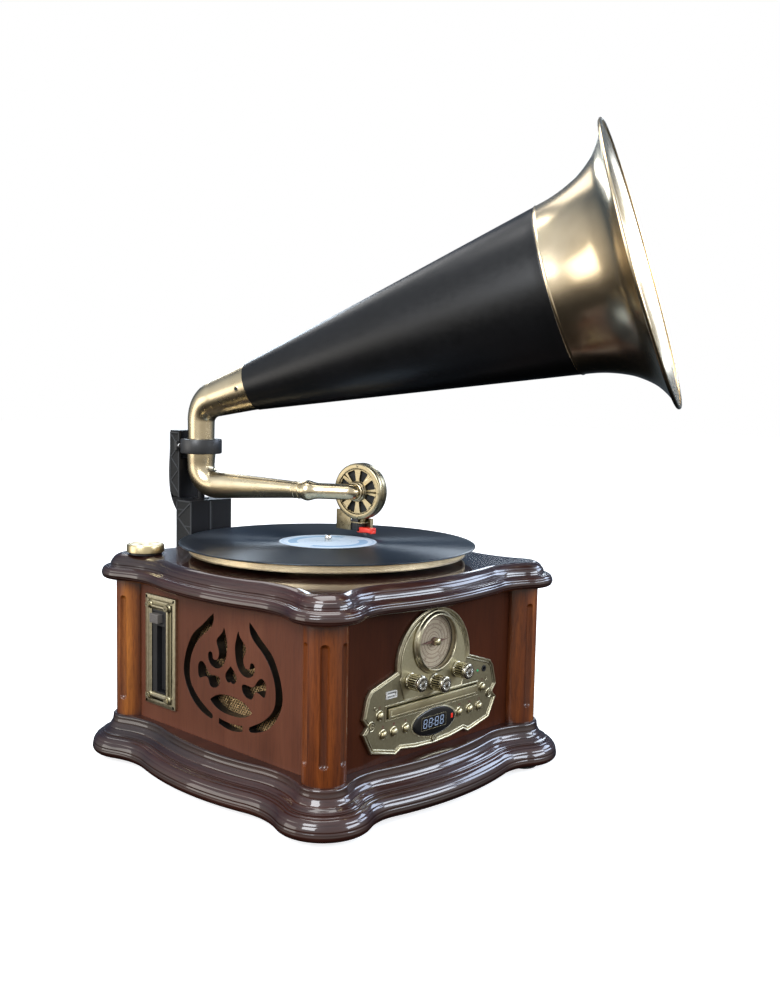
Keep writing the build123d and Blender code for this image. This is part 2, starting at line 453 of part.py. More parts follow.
# the spine behind the pivot tubes, with an S-shaped foot
side_pts = [(194.2, 331.0), (212.0, 331.0), (214.0, 300.0), (214.2, 272.0), (211.0, 258.0), (202.0, 244.0), (190.0, 232.0), (184.9, 222.0), (184.9, 215.0), (175.0, 215.0), (175.0, BR1), (180.0, BR1), (194.2, BR1)]
sp_face = Face(Wire([Line(side_pts[0], side_pts[1]), Spline(*side_pts[1:9]), Line(side_pts[8], side_pts[9]), Line(side_pts[9], side_pts[10]), Line(side_pts[10], side_pts[12]), Line(side_pts[12], side_pts[0])]))
spine = extrude(Plane(origin=(-43.4, 0, 0), x_dir=(0, 1, 0), z_dir=(1, 0, 0)) * sp_face, amount=32.0, dir=(1, 0, 0))
for s in (-1, 1):                                                   # side pockets between truss ribs
    x0, x1 = (-44, -41.6) if s < 0 else (-13.2, -10)
    zz = [262, 276, 290, 304, 318]
    for i, z in enumerate(zz):
        a = 1 if i % 2 else -1
        tri = Polygon((196.6, z-5.5), (209.6, z-5.5), (196.6 if a > 0 else 209.6, z+5.5), align=None)
        spine -= extrude(Plane(origin=(x0, 0, 0), x_dir=(0, 1, 0), z_dir=(1, 0, 0)) * tri, amount=x1-x0, dir=(1, 0, 0))
br += spine
# saddle that receives the clamp
br += box(-40, -14.8, 188.0, 200.0, 306.4, 322.6)
br -= cyl(POST_X, POST_Y, 300, 340, 22.85)
br -= cyl(POST_X, POST_Y, BR1-0.1, 300, 17.2)
for z in (112, 168):
    for x in (-44, -11): br -= cyl_y(x, z, 140, 190, 1.7)
br += cyl(POST_X, POST_Y, BR1-0.5, BR1+0.9, 9.0) + cyl(POST_X, POST_Y, BR1-0.5, ARM_Z-1.0, 4.0)   # arm pivot pin
save(one(br), "horn_bracket")
rg = cyl(POST_X, POST_Y, 306.6, 322.4, 22.7) - cyl(POST_X, POST_Y, 300, 314, 15.78) - cyl(POST_X, POST_Y, 313, 330, 14.48)
save(one(rg), "clamp_ring")
# ---- tone arm ---------------------------------------------------------------------------
ad_ = radians(ARM_DIR)
A = Vector(cos(ad_), sin(ad_), 0)
P0 = Vector(POST_X, POST_Y, ARM_Z)
RB = 21.0                                                   # bend radius of the elbow
C0 = P0 + A*RB + Vector(0, 0, RB)
S_ = Vector(-A.Y, A.X, 0)
UP = (Align.CENTER, Align.CENTER, Align.MIN)
arm = revolve(Plane(origin=C0 - A*RB, z_dir=(0, 0, 1), x_dir=A) * Circle(14.8), Axis(C0, S_), -90)
arm += Plane(origin=P0 + A*RB, z_dir=A) * Cone(14.8, 8.7, 101.0, align=UP)
arm += Pos(POST_X, POST_Y, ARM_Z+RB) * Cone(14.8, 15.7, 12.0, align=UP)
arm += cyl(POST_X, POST_Y, ARM_Z+RB+12, 313.6, 15.7)
arm -= cyl(POST_X, POST_Y, ARM_Z+6, 330, 12.4)
arm -= cyl(POST_X, POST_Y, BR1-5, ARM_Z+6.1, 4.06)
save(one(arm), "tone_arm")

# throw-back gooseneck: a collar on the arm's end, then a straight tube to the sound box
KN = P0 + A*132.0
B_ = Vector(0.6885, -0.7253, 0).normalized()
SBX, SBY, SBZ = 59.6, 14.0, ARM_Z
ax10 = Vector(cos(radians(10)), sin(radians(10)), 0)
hub_end = Vector(SBX, SBY, SBZ) - ax10*7.6
q1 = hub_end - ax10*9.0
path = FilletPolyline(P0 + A*122.6, KN, q1 + Vector(0, 0, 0), hub_end, radius=[9.0, 6.0])
gn = sweep(Plane(origin=P0 + A*122.6, z_dir=A) * Circle(8.5), path=path)
save(one(gn), "gooseneck")
# sound box
def on_axis(o, r, l):
    return Plane(origin=Vector(SBX, SBY, SBZ) + ax10*o, z_dir=ax10) * Cylinder(r, l, align=(Align.CENTER, Align.CENTER, Align.MIN))
sb = on_axis(-6.8, 30.0, 13.6)
sb = chamfer(sb.edges().filter_by(GeomType.CIRCLE), 1.4)
sb -= on_axis(-3.2, 26.0, 7.4)
fpl = Plane(origin=Vector(SBX, SBY, SBZ) - ax10*6.9, z_dir=ax10, x_dir=Vector(-ax10.Y, ax10.X, 0))
for i in range(8):
    a = 22.5 + 45*i
    tz = Polygon((-2.4, 11.0), (2.4, 11.0), (4.0, 22.6), (-4.0, 22.6), align=None)
    sb -= extrude(fpl * (Rot(0, 0, a) * tz), amount=4.5, dir=ax10)
save(one(sb), "sound_box")
# headshell: folded plate under the sound box, with the pick-up cartridge and stylus
hs = box(52.6, 66.6, 5.0, 36.0, 238.8, 240.0) + box(52.6, 53.8, 18.0, 38.5, 230.6, 244.0) + box(65.4, 66.6, 2.0, 20.0, 232.6, 244.0)
hs += box(56.0, 63.2, 8.0, 20.0, 240.0, 248.0)
hs -= box(50, 70, -10, 60, 248.0, 260.0)
hs -= on_axis(-7.5, 30.02, 15.0)
save(one(hs), "headshell")
cart = box(54.0, 65.2, 4.0, 26.0, 230.6, 238.8)
save(one(cart), "cartridge")
sty = box(55.6, 63.6, -6.0, 16.0, 228.4, 230.6) + Pos(58.7, 3.5, 0) * (Pos(0, 0, 226.7) * Cone(0.35, 1.1, 3.4))
save(one(sty), "stylus")

# ---- horn --------------------------------------------------------------------------------
he, hd = radians(HORN_EL), radians(HORN_DIR)
H = Vector(cos(hd)*cos(he), sin(hd)*cos(he), sin(he))
O = Vector(POST_X, POST_Y, HORN_Z)
hp = Plane(origin=O, z_dir=H, x_dir=Vector(-sin(hd), cos(hd), 0))
def revolved(prof):
    w = Polyline(*[(r, 0, s) for r, s in prof], close=True)
    return hp * revolve(Face(Wire(w.edges())), Axis.Z)
T = 1.2
# neck: a socket cone fitted over the elbow, opening from the vertical tube
out_c = [(18.0, -2.0), (25.3, 65.0)]
neck_o = hp * (Pos(0, 0, -4.0) * Cone(17.2, 25.3, 69.0, align=(Align.CENTER, Align.CENTER, Align.MIN)))
neck_o += Pos(POST_X, POST_Y, HORN_Z-2.0) * Sphere(17.6)
neck_o += cyl(POST_X, POST_Y, 314.4, HORN_Z, 14.4)
neck_i = hp * (Pos(0, 0, -3.0) * Cone(15.4, 23.6, 75.0, align=(Align.CENTER, Align.CENTER, Align.MIN)))
neck_i += Pos(POST_X, POST_Y, HORN_Z-2.0) * Sphere(15.8)
neck_i += cyl(POST_X, POST_Y, 310.0, HORN_Z, 12.6)
neck = neck_o - neck_i
side_n = Vector(-sin(hd), cos(hd), 0)
scr_p = O + H*56.0
neck -= Plane(origin=scr_p - side_n*30, z_dir=side_n) * Cylinder(1.9, 14)
save(one(neck), "horn_neck")
cone = revolved([(25.35, 65.2), (26.1, 65.2), (84.8, 408.0), (83.4, 408.0), (24.8, 66.6), (24.8, 65.2)])
save(one(cone), "horn_cone")
bell_o = [(84.6, 408.2), (88.2, 425.0), (92.9, 440.0), (99.6, 455.0), (107.0, 466.0), (115.6, 475.4), (125.0, 482.0), (134.0, 486.4), (140.4, 488.6)]
o_sp = Spline(*[(r, 0, s) for r, s in bell_o])
i_pts = [(140.0, 489.7), (133.4, 487.5), (124.2, 483.1), (114.7, 476.4), (106.0, 466.9), (98.5, 455.6), (91.7, 440.5), (87.0, 425.4), (83.2, 408.2)]
i_sp = Spline(*[(r, 0, s) for r, s in i_pts])
bell_f = Face(Wire([o_sp, Line((140.4, 0, 488.6), (140.0, 0, 489.7)), i_sp, Line((83.2, 0, 408.2), (84.6, 0, 408.2))]))
bell = hp * revolve(bell_f, Axis.Z)
bell += hp * (Pos(0, 0, 489.6) * Torus(141.0, 2.0))
save(one(bell), "horn_bell")
print("arm dir", A, "knuckle", KN, "hub", hub_end, "horn axis", H, "mouth", O + H*489)
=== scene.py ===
import bpy, bmesh
from math import sin, cos, pi, radians, hypot, atan2, acos, sqrt, degrees, exp
from mathutils import Vector, Matrix, noise
from mathutils.geometry import tessellate_polygon


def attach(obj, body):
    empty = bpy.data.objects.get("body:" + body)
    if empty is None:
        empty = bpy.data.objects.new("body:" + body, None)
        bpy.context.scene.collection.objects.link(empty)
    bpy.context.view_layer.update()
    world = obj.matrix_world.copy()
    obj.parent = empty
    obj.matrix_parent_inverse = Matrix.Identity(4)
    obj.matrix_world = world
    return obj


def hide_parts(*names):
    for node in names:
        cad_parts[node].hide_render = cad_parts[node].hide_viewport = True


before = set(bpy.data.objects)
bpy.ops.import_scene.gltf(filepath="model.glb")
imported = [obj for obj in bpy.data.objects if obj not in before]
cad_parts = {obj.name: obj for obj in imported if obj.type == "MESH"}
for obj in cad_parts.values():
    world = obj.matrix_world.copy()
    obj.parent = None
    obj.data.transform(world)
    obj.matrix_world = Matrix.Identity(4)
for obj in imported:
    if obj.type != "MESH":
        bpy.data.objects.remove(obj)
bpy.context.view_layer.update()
MM = 0.001

# ---------------------------------------------------------------------------- mesh tools
def mesh(name, verts, faces, mat, body, slot=None, replaces=(), sharp=32.0, mats=None, midx=None, uvs=None, flip=False, fixn=True):
    me = bpy.data.meshes.new(name)
    me.from_pydata([(v[0]*MM, v[1]*MM, v[2]*MM) for v in verts], [], faces)
    if uvs is not None:
        uv = me.uv_layers.new(name="UVMap")
        for p in me.polygons:
            for li, u in zip(p.loop_indices, uvs[p.index]): uv.data[li].uv = u
    for m in (mats or [mat]): me.materials.append(m)
    if midx is not None:
        for p, i in zip(me.polygons, midx): p.material_index = i
    if fixn:
        bm = bmesh.new(); bm.from_mesh(me)
        bmesh.ops.remove_doubles(bm, verts=bm.verts, dist=1e-7)
        bmesh.ops.recalc_face_normals(bm, faces=bm.faces)
        bm.to_mesh(me); bm.free()
    for p in me.polygons: p.use_smooth = True
    if sharp < 180: me.set_sharp_from_angle(angle=radians(sharp))
    ob = bpy.data.objects.new(name, me)
    bpy.context.scene.collection.objects.link(ob)
    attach(ob, body)
    if replaces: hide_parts(*replaces)
    return ob

class G:
    """Collects several shapes into one mesh."""
    def __init__(self): self.v, self.f, self.m = [], [], []
    def add(self, vf, mi=0):
        v, f = vf; n = len(self.v)
        self.v += [tuple(p) for p in v]; self.f += [tuple(i+n for i in q) for q in f]; self.m += [mi]*len(f)
        return self
    def make(self, name, mats, body, **k):
        if not isinstance(mats, (list, tuple)): mats = [mats]
        return mesh(name, self.v, self.f, None, body, mats=list(mats), midx=self.m, fixn=k.pop("fixn", True), **k)

def basis(d, up=None):
    d = Vector(d).normalized()
    u = Vector(up) if up is not None else (Vector((0, 0, 1)) if abs(d.z) < 0.9 else Vector((1, 0, 0)))
    a = (u - d*u.dot(d)).normalized()
    return a, d.cross(a), d

def lathe(prof, o, d, n=96, up=None, a0=0.0, mod=None):
    """Revolve (r, s) points about the axis d through o."""
    a, b, d = basis(d, up); o = Vector(o)
    v, f, rings = [], [], []
    for k, (r, s) in enumerate(prof):
        if r < 1e-6:
            rings.append([len(v)]); v.append(o + d*s)
        else:
            rg = []
            for i in range(n):
                t = 2*pi*i/n + a0
                rr = r*(mod(k, i, t) if mod else 1.0)
                rg.append(len(v)); v.append(o + a*(rr*cos(t)) + b*(rr*sin(t)) + d*s)
            rings.append(rg)
    for p, q in zip(rings, rings[1:]):
        if len(p) == 1 and len(q) == 1: continue
        for i in range(n):
            j = (i+1) % n
            if len(p) == 1: f.append((p[0], q[i], q[j]))
            elif len(q) == 1: f.append((p[i], q[0], p[j]))
            else: f.append((p[i], q[i], q[j], p[j]))
    return v, f

def tube(path, radii, n=48, caps=True):
    """A round tube through points, with a radius for each."""
    P = [Vector(p) for p in path]
    if not isinstance(radii, (list, tuple)): radii = [radii]*len(P)
    v, f = [], []
    t = (P[1]-P[0]).normalized(); a, b, _ = basis(t)
    for i, p in enumerate(P):
        if i == 0: tn = (P[1]-P[0]).normalized()
        elif i == len(P)-1: tn = (P[-1]-P[-2]).normalized()
        else: tn = ((P[i+1]-p).normalized() + (p-P[i-1]).normalized()).normalized()
        a = (a - tn*a.dot(tn)).normalized(); b = tn.cross(a)
        for k in range(n):
            w = 2*pi*k/n
            v.append(p + a*(radii[i]*cos(w)) + b*(radii[i]*sin(w)))
    for i in range(len(P)-1):
        for k in range(n):
            j = (k+1) % n
            f.append((i*n+k, i*n+j, (i+1)*n+j, (i+1)*n+k))
    if caps:
        f.append(tuple(reversed(range(n)))); f.append(tuple((len(P)-1)*n+k for k in range(n)))
    return v, f

def arc(c, r, a0, a1, n):
    return [(c[0]+r*cos(radians(a0+(a1-a0)*i/n)), c[1]+r*sin(radians(a0+(a1-a0)*i/n))) for i in range(n+1)]

def arc3(p, m, q, n=10):
    """Points on the arc from p through m to q."""
    ax, ay, bx, by, cx, cy = *p, *m, *q
    d = 2*(ax*(by-cy)+bx*(cy-ay)+cx*(ay-by))
    ux = ((ax*ax+ay*ay)*(by-cy)+(bx*bx+by*by)*(cy-ay)+(cx*cx+cy*cy)*(ay-by))/d
    uy = ((ax*ax+ay*ay)*(cx-bx)+(bx*bx+by*by)*(ax-cx)+(cx*cx+cy*cy)*(bx-ax))/d
    r = hypot(ax-ux, ay-uy)
    t0, tm, t1 = atan2(ay-uy, ax-ux), atan2(by-uy, bx-ux), atan2(cy-uy, cx-ux)
    while tm < t0: tm += 2*pi
    while t1 < t0: t1 += 2*pi
    if tm > t1: t1 -= 2*pi
    return [(ux+r*cos(t0+(t1-t0)*i/n), uy+r*sin(t0+(t1-t0)*i/n)) for i in range(n+1)]

def boxm(x0, x1, y0, y1, z0, z1, bev=0.0):
    """A box with bevelled edges, as vertices and faces."""
    bm = bmesh.new()
    bmesh.ops.create_cube(bm, size=1.0)
    for q in bm.verts: q.co = Vector(((x0+x1)/2+q.co.x*(x1-x0), (y0+y1)/2+q.co.y*(y1-y0), (z0+z1)/2+q.co.z*(z1-z0)))
    if bev: bmesh.ops.bevel(bm, geom=list(bm.edges), offset=bev, segments=3, profile=0.6, affect="EDGES")
    bm.verts.index_update()
    v = [q.co.copy() for q in bm.verts]; f = [tuple(q.index for q in fc.verts) for fc in bm.faces]
    bm.free(); return v, f

def prism(poly, depth0, depth1, place):
    """Extrude a 2-D polygon between two depths; place maps (u, v, w) to a point."""
    n = len(poly)
    v = [place(u, w, depth0) for u, w in poly] + [place(u, w, depth1) for u, w in poly]
    f = [tuple(range(n)), tuple(reversed(range(n, 2*n)))] + [(i, (i+1) % n, n+(i+1) % n, n+i) for i in range(n)]
    return v, f

def inset(poly, d):
    """A closed counter-clockwise polygon moved inwards by d, mitred."""
    n, out = len(poly), []
    for i in range(n):
        p0, p1, p2 = poly[i-1], poly[i], poly[(i+1) % n]
        e1 = Vector((p1[0]-p0[0], p1[1]-p0[1])).normalized(); e2 = Vector((p2[0]-p1[0], p2[1]-p1[1])).normalized()
        n1, n2 = Vector((-e1.y, e1.x)), Vector((-e2.y, e2.x))
        m = n1+n2; k = m.dot(n1)
        m = m/k if abs(k) > 0.15 else n1
        out.append((p1[0]+m.x*d, p1[1]+m.y*d))
    return out

def rim(poly, prof, place):
    """A border: prof is a list of (inset, height); place maps (u, v, h) to a point."""
    rings = [inset(poly, d) for d, h in prof]; n = len(poly)
    v, f = [], []
    for (d, h), r in zip(prof, rings): v += [place(p[0], p[1], h) for p in r]
    for k in range(len(prof)-1):
        for i in range(n):
            j = (i+1) % n
            f.append((k*n+i, k*n+j, (k+1)*n+j, (k+1)*n+i))
    return v, f

def cut(ob, cutter_vf, name="cutter"):
    me = bpy.data.meshes.new(name); v, f = cutter_vf
    me.from_pydata([(p[0]*MM, p[1]*MM, p[2]*MM) for p in v], [], f)
    c = bpy.data.objects.new(name, me); bpy.context.scene.collection.objects.link(c)
    md = ob.modifiers.new("cut", "BOOLEAN"); md.object = c; md.operation = "DIFFERENCE"; md.solver = "EXACT"
    dg = bpy.context.evaluated_depsgraph_get()
    new = bpy.data.meshes.new_from_object(ob.evaluated_get(dg))
    ob.modifiers.clear(); old = ob.data; ob.data = new
    new.name = old.name + "_m"; bpy.data.meshes.remove(old)
    bpy.data.objects.remove(c); bpy.data.meshes.remove(me)

# ---------------------------------------------------------------------------- materials
class Mat:
    def __init__(self, name, **k):
        self.m = bpy.data.materials.new(name); self.m.use_nodes = True
        self.nt = self.m.node_tree; self.b = self.nt.nodes["Principled BSDF"]
        for key, val in k.items(): self.b.inputs[key].default_value = val
    def n(self, t, **k):
        q = self.nt.nodes.new(t)
        for a, b in k.items():
            if a.startswith("i_"):
                key = a[2:]; q.inputs[int(key) if key.isdigit() else key.replace("_", " ")].default_value = b
            else: setattr(q, a, b)
        return q
    def l(self, a, b): self.nt.links.new(a, b)
    def coords(self, scale=(1, 1, 1), uv=False, rot=(0, 0, 0)):
        tc = self.n("ShaderNodeTexCoord"); mp = self.n("ShaderNodeMapping")
        mp.inputs["Scale"].default_value = scale; mp.inputs["Rotation"].default_value = rot
        self.l(tc.outputs["UV" if uv else "Object"], mp.inputs["Vector"]); return mp.outputs["Vector"]
    def noise(self, vec, scale, detail=4.0, rough=0.5, dist=0.0):
        q = self.n("ShaderNodeTexNoise"); q.inputs["Scale"].default_value = scale; q.inputs["Detail"].default_value = detail
        q.inputs["Roughness"].default_value = rough; q.inputs["Distortion"].default_value = dist
        self.l(vec, q.inputs["Vector"]); return q.outputs["Fac"]
    def ramp(self, fac, stops):
        q = self.n("ShaderNodeValToRGB"); e = q.color_ramp.elements
        while len(e) < len(stops): e.new(0.5)
        for el, (p, c) in zip(e, stops):
            el.position = p; el.color = (*c, 1) if len(c) == 3 else c
        self.l(fac, q.inputs["Fac"]); return q.outputs["Color"]
    def mix(self, fac, a, b, mode="MIX"):
        q = self.n("ShaderNodeMix", data_type="RGBA", blend_type=mode)
        for s, v in ((q.inputs[0], fac), (q.inputs[6], a), (q.inputs[7], b)):
            if hasattr(v, "is_linked") or hasattr(v, "links"): self.l(v, s)
            else: s.default_value = (*v, 1) if isinstance(v, tuple) and len(v) == 3 else v
        return q.outputs[2]
    def rng(self, fac, a, b, f0=0.0, f1=1.0):
        q = self.n("ShaderNodeMapRange"); q.inputs["From Min"].default_value = f0; q.inputs["From Max"].default_value = f1
        q.inputs["To Min"].default_value = a; q.inputs["To Max"].default_value = b
        self.l(fac, q.inputs["Value"]); return q.outputs["Result"]
    def bump(self, h, strength=0.2, dist=0.001, edge=0.0):
        q = self.n("ShaderNodeBump"); q.inputs["Strength"].default_value = strength; q.inputs["Distance"].default_value = dist
        self.l(h, q.inputs["Height"])
        if edge:
            bv = self.n("ShaderNodeBevel"); bv.samples = 4; bv.inputs["Radius"].default_value = edge
            self.l(bv.outputs["Normal"], q.inputs["Normal"])
        self.l(q.outputs["Normal"], self.b.inputs["Normal"]); return q
    def edge(self, r=0.0005, coat=False):
        bv = self.n("ShaderNodeBevel"); bv.samples = 4; bv.inputs["Radius"].default_value = r
        self.l(bv.outputs["Normal"], self.b.inputs["Normal"])
        if coat: self.l(bv.outputs["Normal"], self.b.inputs["Coat Normal"])
    def color(self, c): self.l(c, self.b.inputs["Base Color"])
    def rough(self, c): self.l(c, self.b.inputs["Roughness"])
    def ao(self, dist=0.003, inside=False):
        q = self.n("ShaderNodeAmbientOcclusion"); q.samples = 6; q.inputs["Distance"].default_value = dist
        return q.outputs["AO"]

def wood(name, dark, mid, light, axis="Z", uv=False, coat=1.0, crough=0.07, rough=0.38, scale=1.0, edge=0.0, contrast=(0.30, 0.52, 0.74), spec=0.5, pore=0.6, walls=False, flute=False, cior=1.52):
    w = Mat(name, Metallic=0.0); b = w.b
    b.inputs["Coat Weight"].default_value = coat; b.inputs["Coat Roughness"].default_value = crough; b.inputs["Coat IOR"].default_value = cior
    b.inputs["Specular IOR Level"].default_value = spec
    st = {"X": (0.09, 1, 1), "Y": (1, 0.09, 1), "Z": (1, 1, 0.07)}[axis]
    c1 = w.coords(st, uv); big = w.noise(c1, 34*scale, 5, 0.55, 0.6)
    fine = w.noise(w.coords(tuple(4.2*s for s in st), uv), 150*scale, 3, 0.6, 0.2)
    cl = w.noise(w.coords((1, 1, 1), uv), 7*scale, 2, 0.5)
    base = w.ramp(big, [(contrast[0], dark), (contrast[1], mid), (contrast[2], light)])
    pores = w.ramp(fine, [(0.36, (0.45, 0.42, 0.42)), (0.52, (1, 1, 1))])
    col = w.mix(pore, base, pores, "MULTIPLY")
    cloud = w.ramp(cl, [(0.3, (0.62, 0.60, 0.60)), (0.7, (1.12, 1.1, 1.08))])
    col = w.mix(0.7, col, cloud, "MULTIPLY")
    if flute:                                           # darkened by occlusion in the flutes and at the corners by the panels: painted shade, which also stands for stain gathered there
        col = w.mix(w.ramp(w.ao(0.016), [(0.35, (1, 1, 1)), (0.93, (0, 0, 0))]), col, (0.030, 0.0062, 0.0020))
    if walls:                                           # the sawn walls of the fretwork are painted black
        gm = w.n("ShaderNodeNewGeometry"); sp = w.n("ShaderNodeSeparateXYZ"); w.l(gm.outputs["True Normal"], sp.inputs[0])
        ab = w.n("ShaderNodeMath", operation="ABSOLUTE"); w.l(sp.outputs[0], ab.inputs[0])
        col = w.mix(w.ramp(ab.outputs[0], [(0.4, (1, 1, 1)), (0.6, (0, 0, 0))]), col, (0.006, 0.0045, 0.004))
    w.color(col)
    w.rough(w.rng(fine, rough-0.08, rough+0.12))
    w.bump(fine, 0.10, 0.0004, edge)
    if edge:
        bv = w.n("ShaderNodeBevel"); bv.samples = 4; bv.inputs["Radius"].default_value = edge
        w.l(bv.outputs["Normal"], b.inputs["Coat Normal"])
    return w.m

def brass(name, lo, mid, hi, rough=0.28, var=0.08, edge=0.0003, patina=None, ao=0.0, bumpy=0.05, scale=90.0, brushed=None, aniso=0.0, aomix=1.0):
    w = Mat(name, Metallic=1.0); b = w.b
    if aniso: b.inputs["Anisotropic"].default_value = aniso
    v = w.coords(brushed or (1, 1, 1)); n1 = w.noise(v, scale, 5, 0.6, 0.3); n2 = w.noise(w.coords(), 16, 3, 0.5)
    c = w.ramp(n1, [(0.3, lo), (0.5, mid), (0.72, hi)])
    c = w.mix(0.5, c, w.ramp(n2, [(0.32, (0.72, 0.70, 0.66)), (0.66, (1.05, 1.04, 1.0))]), "MULTIPLY")
    if ao:
        a = w.ramp(w.ao(ao), [(0.35, (aomix,)*3), (0.92, (0, 0, 0))])
        c = w.mix(a, c, patina or (0.05, 0.04, 0.025))
    w.color(c); w.rough(w.rng(n1, rough-var, rough+var, 0.3, 0.7))
    w.bump(n1, bumpy, 0.0003, edge)
    return w.m

def plastic(name, c, rough=0.4, var=0.08, edge=0.0004, grain=900.0, bumpy=0.12, coat=0.0, c2=None, spec=0.5, hollow=None):
    w = Mat(name, Metallic=0.0); b = w.b
    b.inputs["Coat Weight"].default_value = coat; b.inputs["Coat Roughness"].default_value = 0.08
    b.inputs["Specular IOR Level"].default_value = spec
    n1 = w.noise(w.coords(), grain, 3, 0.55); n2 = w.noise(w.coords(), 22, 3, 0.5)
    c2 = c2 or tuple(min(1, x*1.35+0.004) for x in c)
    col = w.ramp(n2, [(0.3, c), (0.7, c2)])
    # the hollow colour darkens recesses by occlusion: painted shade
    if hollow: col = w.mix(w.ramp(w.ao(0.006), [(0.45, (1, 1, 1)), (0.8, (0, 0, 0))]), col, hollow)
    w.color(col); w.rough(w.rng(n1, rough-var, rough+var, 0.3, 0.7))
    w.bump(n1, bumpy, 0.00015, edge)
    return w.m

def metal(name, c, rough=0.2, var=0.06, edge=0.0003, scale=120, brushed=None, bumpy=0.03):
    return brass(name, tuple(x*0.86 for x in c), c, tuple(min(1, x*1.08) for x in c), rough, var, edge, bumpy=bumpy, scale=scale, brushed=brushed)

M = {}
M["moulding"] = wood("moulding_wood", (0.012, 0.0030, 0.0022), (0.032, 0.0082, 0.0050), (0.066, 0.019, 0.0105), "X", uv=True, coat=1.0, crough=0.06, rough=0.36, cior=1.6, spec=0.2)
M["top"] = wood("top_wood", (0.022, 0.0048, 0.0024), (0.055, 0.0125, 0.0052), (0.10, 0.026, 0.0095), "X", coat=0.45, crough=0.10, rough=0.4, spec=0.2)
M["panel"] = wood("panel_wood", (0.038, 0.0080, 0.0022), (0.054, 0.0120, 0.0033), (0.074, 0.018, 0.0052), "Z", coat=0.10, crough=0.12, rough=0.5, spec=0.08, edge=0.0006, contrast=(0.2, 0.5, 0.8), pore=0.3)
M["fret"] = wood("fret_panel_wood", (0.094, 0.0270, 0.0130), (0.126, 0.0390, 0.0190), (0.155, 0.052, 0.0265), "Z", coat=0.25, crough=0.22, rough=0.5, spec=0.2, edge=0.0006, contrast=(0.2, 0.5, 0.8), pore=0.3, walls=True)
M["column"] = wood("column_wood", (0.055, 0.0090, 0.0012), (0.185, 0.043, 0.0052), (0.40, 0.130, 0.018), "Z", coat=0.7, crough=0.06, rough=0.34, spec=0.25, scale=1.7, edge=0.0004, flute=True)
M["board"] = wood("hardboard", (0.16, 0.10, 0.055), (0.24, 0.155, 0.09), (0.33, 0.22, 0.13), "X", coat=0.0, rough=0.8)
M["antique"] = brass("antique_brass", (0.265, 0.235, 0.150), (0.300, 0.268, 0.175), (0.335, 0.302, 0.200), 0.44, 0.06, 0.0002, ao=0.0014, patina=(0.040, 0.032, 0.020), scale=420, bumpy=0.06, aomix=0.8)
M["antique_mid"] = brass("antique_brass_field", (0.46, 0.415, 0.270), (0.510, 0.462, 0.305), (0.56, 0.510, 0.345), 0.42, 0.07, 0.0002, ao=0.0010, patina=(0.10, 0.08, 0.045), scale=420, bumpy=0.06, aomix=0.6)
M["antique_light"] = brass("antique_brass_light", (0.46, 0.415, 0.285), (0.54, 0.490, 0.345), (0.62, 0.570, 0.410), 0.34, 0.06, 0.0002, ao=0.0009, patina=(0.10, 0.08, 0.05), scale=300, bumpy=0.04, aomix=0.7)
M["button"] = brass("button_brass", (0.52, 0.460, 0.285), (0.60, 0.535, 0.340), (0.66, 0.600, 0.400), 0.34, 0.04, 0.0, scale=60, bumpy=0.01)
M["polished"] = brass("polished_brass", (0.64, 0.525, 0.340), (0.70, 0.585, 0.390), (0.75, 0.640, 0.445), 0.27, 0.04, 0.0, scale=22, bumpy=0.002)
M["bell"] = brass("bell_brass", (0.78, 0.625, 0.410), (0.84, 0.690, 0.470), (0.89, 0.750, 0.540), 0.22, 0.04, 0.0, scale=9, bumpy=0.004)
M["sound"] = brass("sound_box_brass", (0.36, 0.300, 0.180), (0.43, 0.365, 0.230), (0.50, 0.435, 0.290), 0.30, 0.05, 0.0, ao=0.0008, patina=(0.12, 0.09, 0.055), scale=150, aomix=0.6)
M["chrome"] = metal("chrome", (0.74, 0.735, 0.72), 0.1, 0.04, bumpy=0.01)
M["knob_side"] = metal("knob_side", (0.66, 0.62, 0.50), 0.16, 0.04, scale=200, bumpy=0.02)
# near-black metal for the floors of the knob grooves: painted shade
M["knob_groove_shade"] = metal("knob_groove_shade", (0.022, 0.019, 0.015), 0.30, 0.06, scale=200, bumpy=0.02)
M["knob_face"] = metal("knob_face", (0.48, 0.46, 0.41), 0.2, 0.1, scale=420, bumpy=0.10)
M["platter"] = brass("platter_metal", (0.80, 0.66, 0.43), (0.88, 0.74, 0.51), (0.94, 0.81, 0.58), 0.36, 0.06, 0.0002, scale=160, bumpy=0.02)
M["puck"] = brass("puck_brass", (0.62, 0.50, 0.27), (0.70, 0.58, 0.34), (0.78, 0.67, 0.43), 0.3, 0.02, 0.0, scale=20, bumpy=0.0)
M["black_paint"] = plastic("black_paint", (0.0040, 0.0040, 0.0043), 0.34, 0.04, 0.0, 160, 0.004, coat=0.0, c2=(0.0060, 0.0060, 0.0068), spec=0.36)
M["black_plastic"] = plastic("black_plastic", (0.010, 0.010, 0.011), 0.36, 0.08, 0.0005)
M["clamp"] = plastic("clamp_plastic", (0.022, 0.022, 0.023), 0.36, 0.05, 0.0005, 500, 0.02, spec=0.5)
# a lighter plastic for the bracket's ribs: painted highlight
M["rib"] = plastic("rib_plastic", (0.026, 0.028, 0.031), 0.42, 0.06, 0.0003, 700, 0.03)
# the bracket's pockets are darkened by occlusion: painted shade
M["bracket"] = plastic("bracket_plastic", (0.007, 0.007, 0.008), 0.36, 0.06, 0.0006, 700, 0.04, c2=(0.008, 0.008, 0.0095), spec=0.2, hollow=(0.0015, 0.0015, 0.0017))
M["black_gloss"] = plastic("black_gloss", (0.004, 0.004, 0.0045), 0.14, 0.04, 0.0004, 300, 0.01, coat=0.2, spec=0.4)
M["black_matt"] = plastic("black_matt", (0.006, 0.006, 0.006), 0.75, 0.1, 0.0)
M["rubber"] = plastic("rubber", (0.012, 0.012, 0.012), 0.75, 0.1, 0.0006, 1400, 0.3)
M["grey"] = plastic("grey_plastic", (0.105, 0.095, 0.088), 0.42, 0.08, 0.0004)
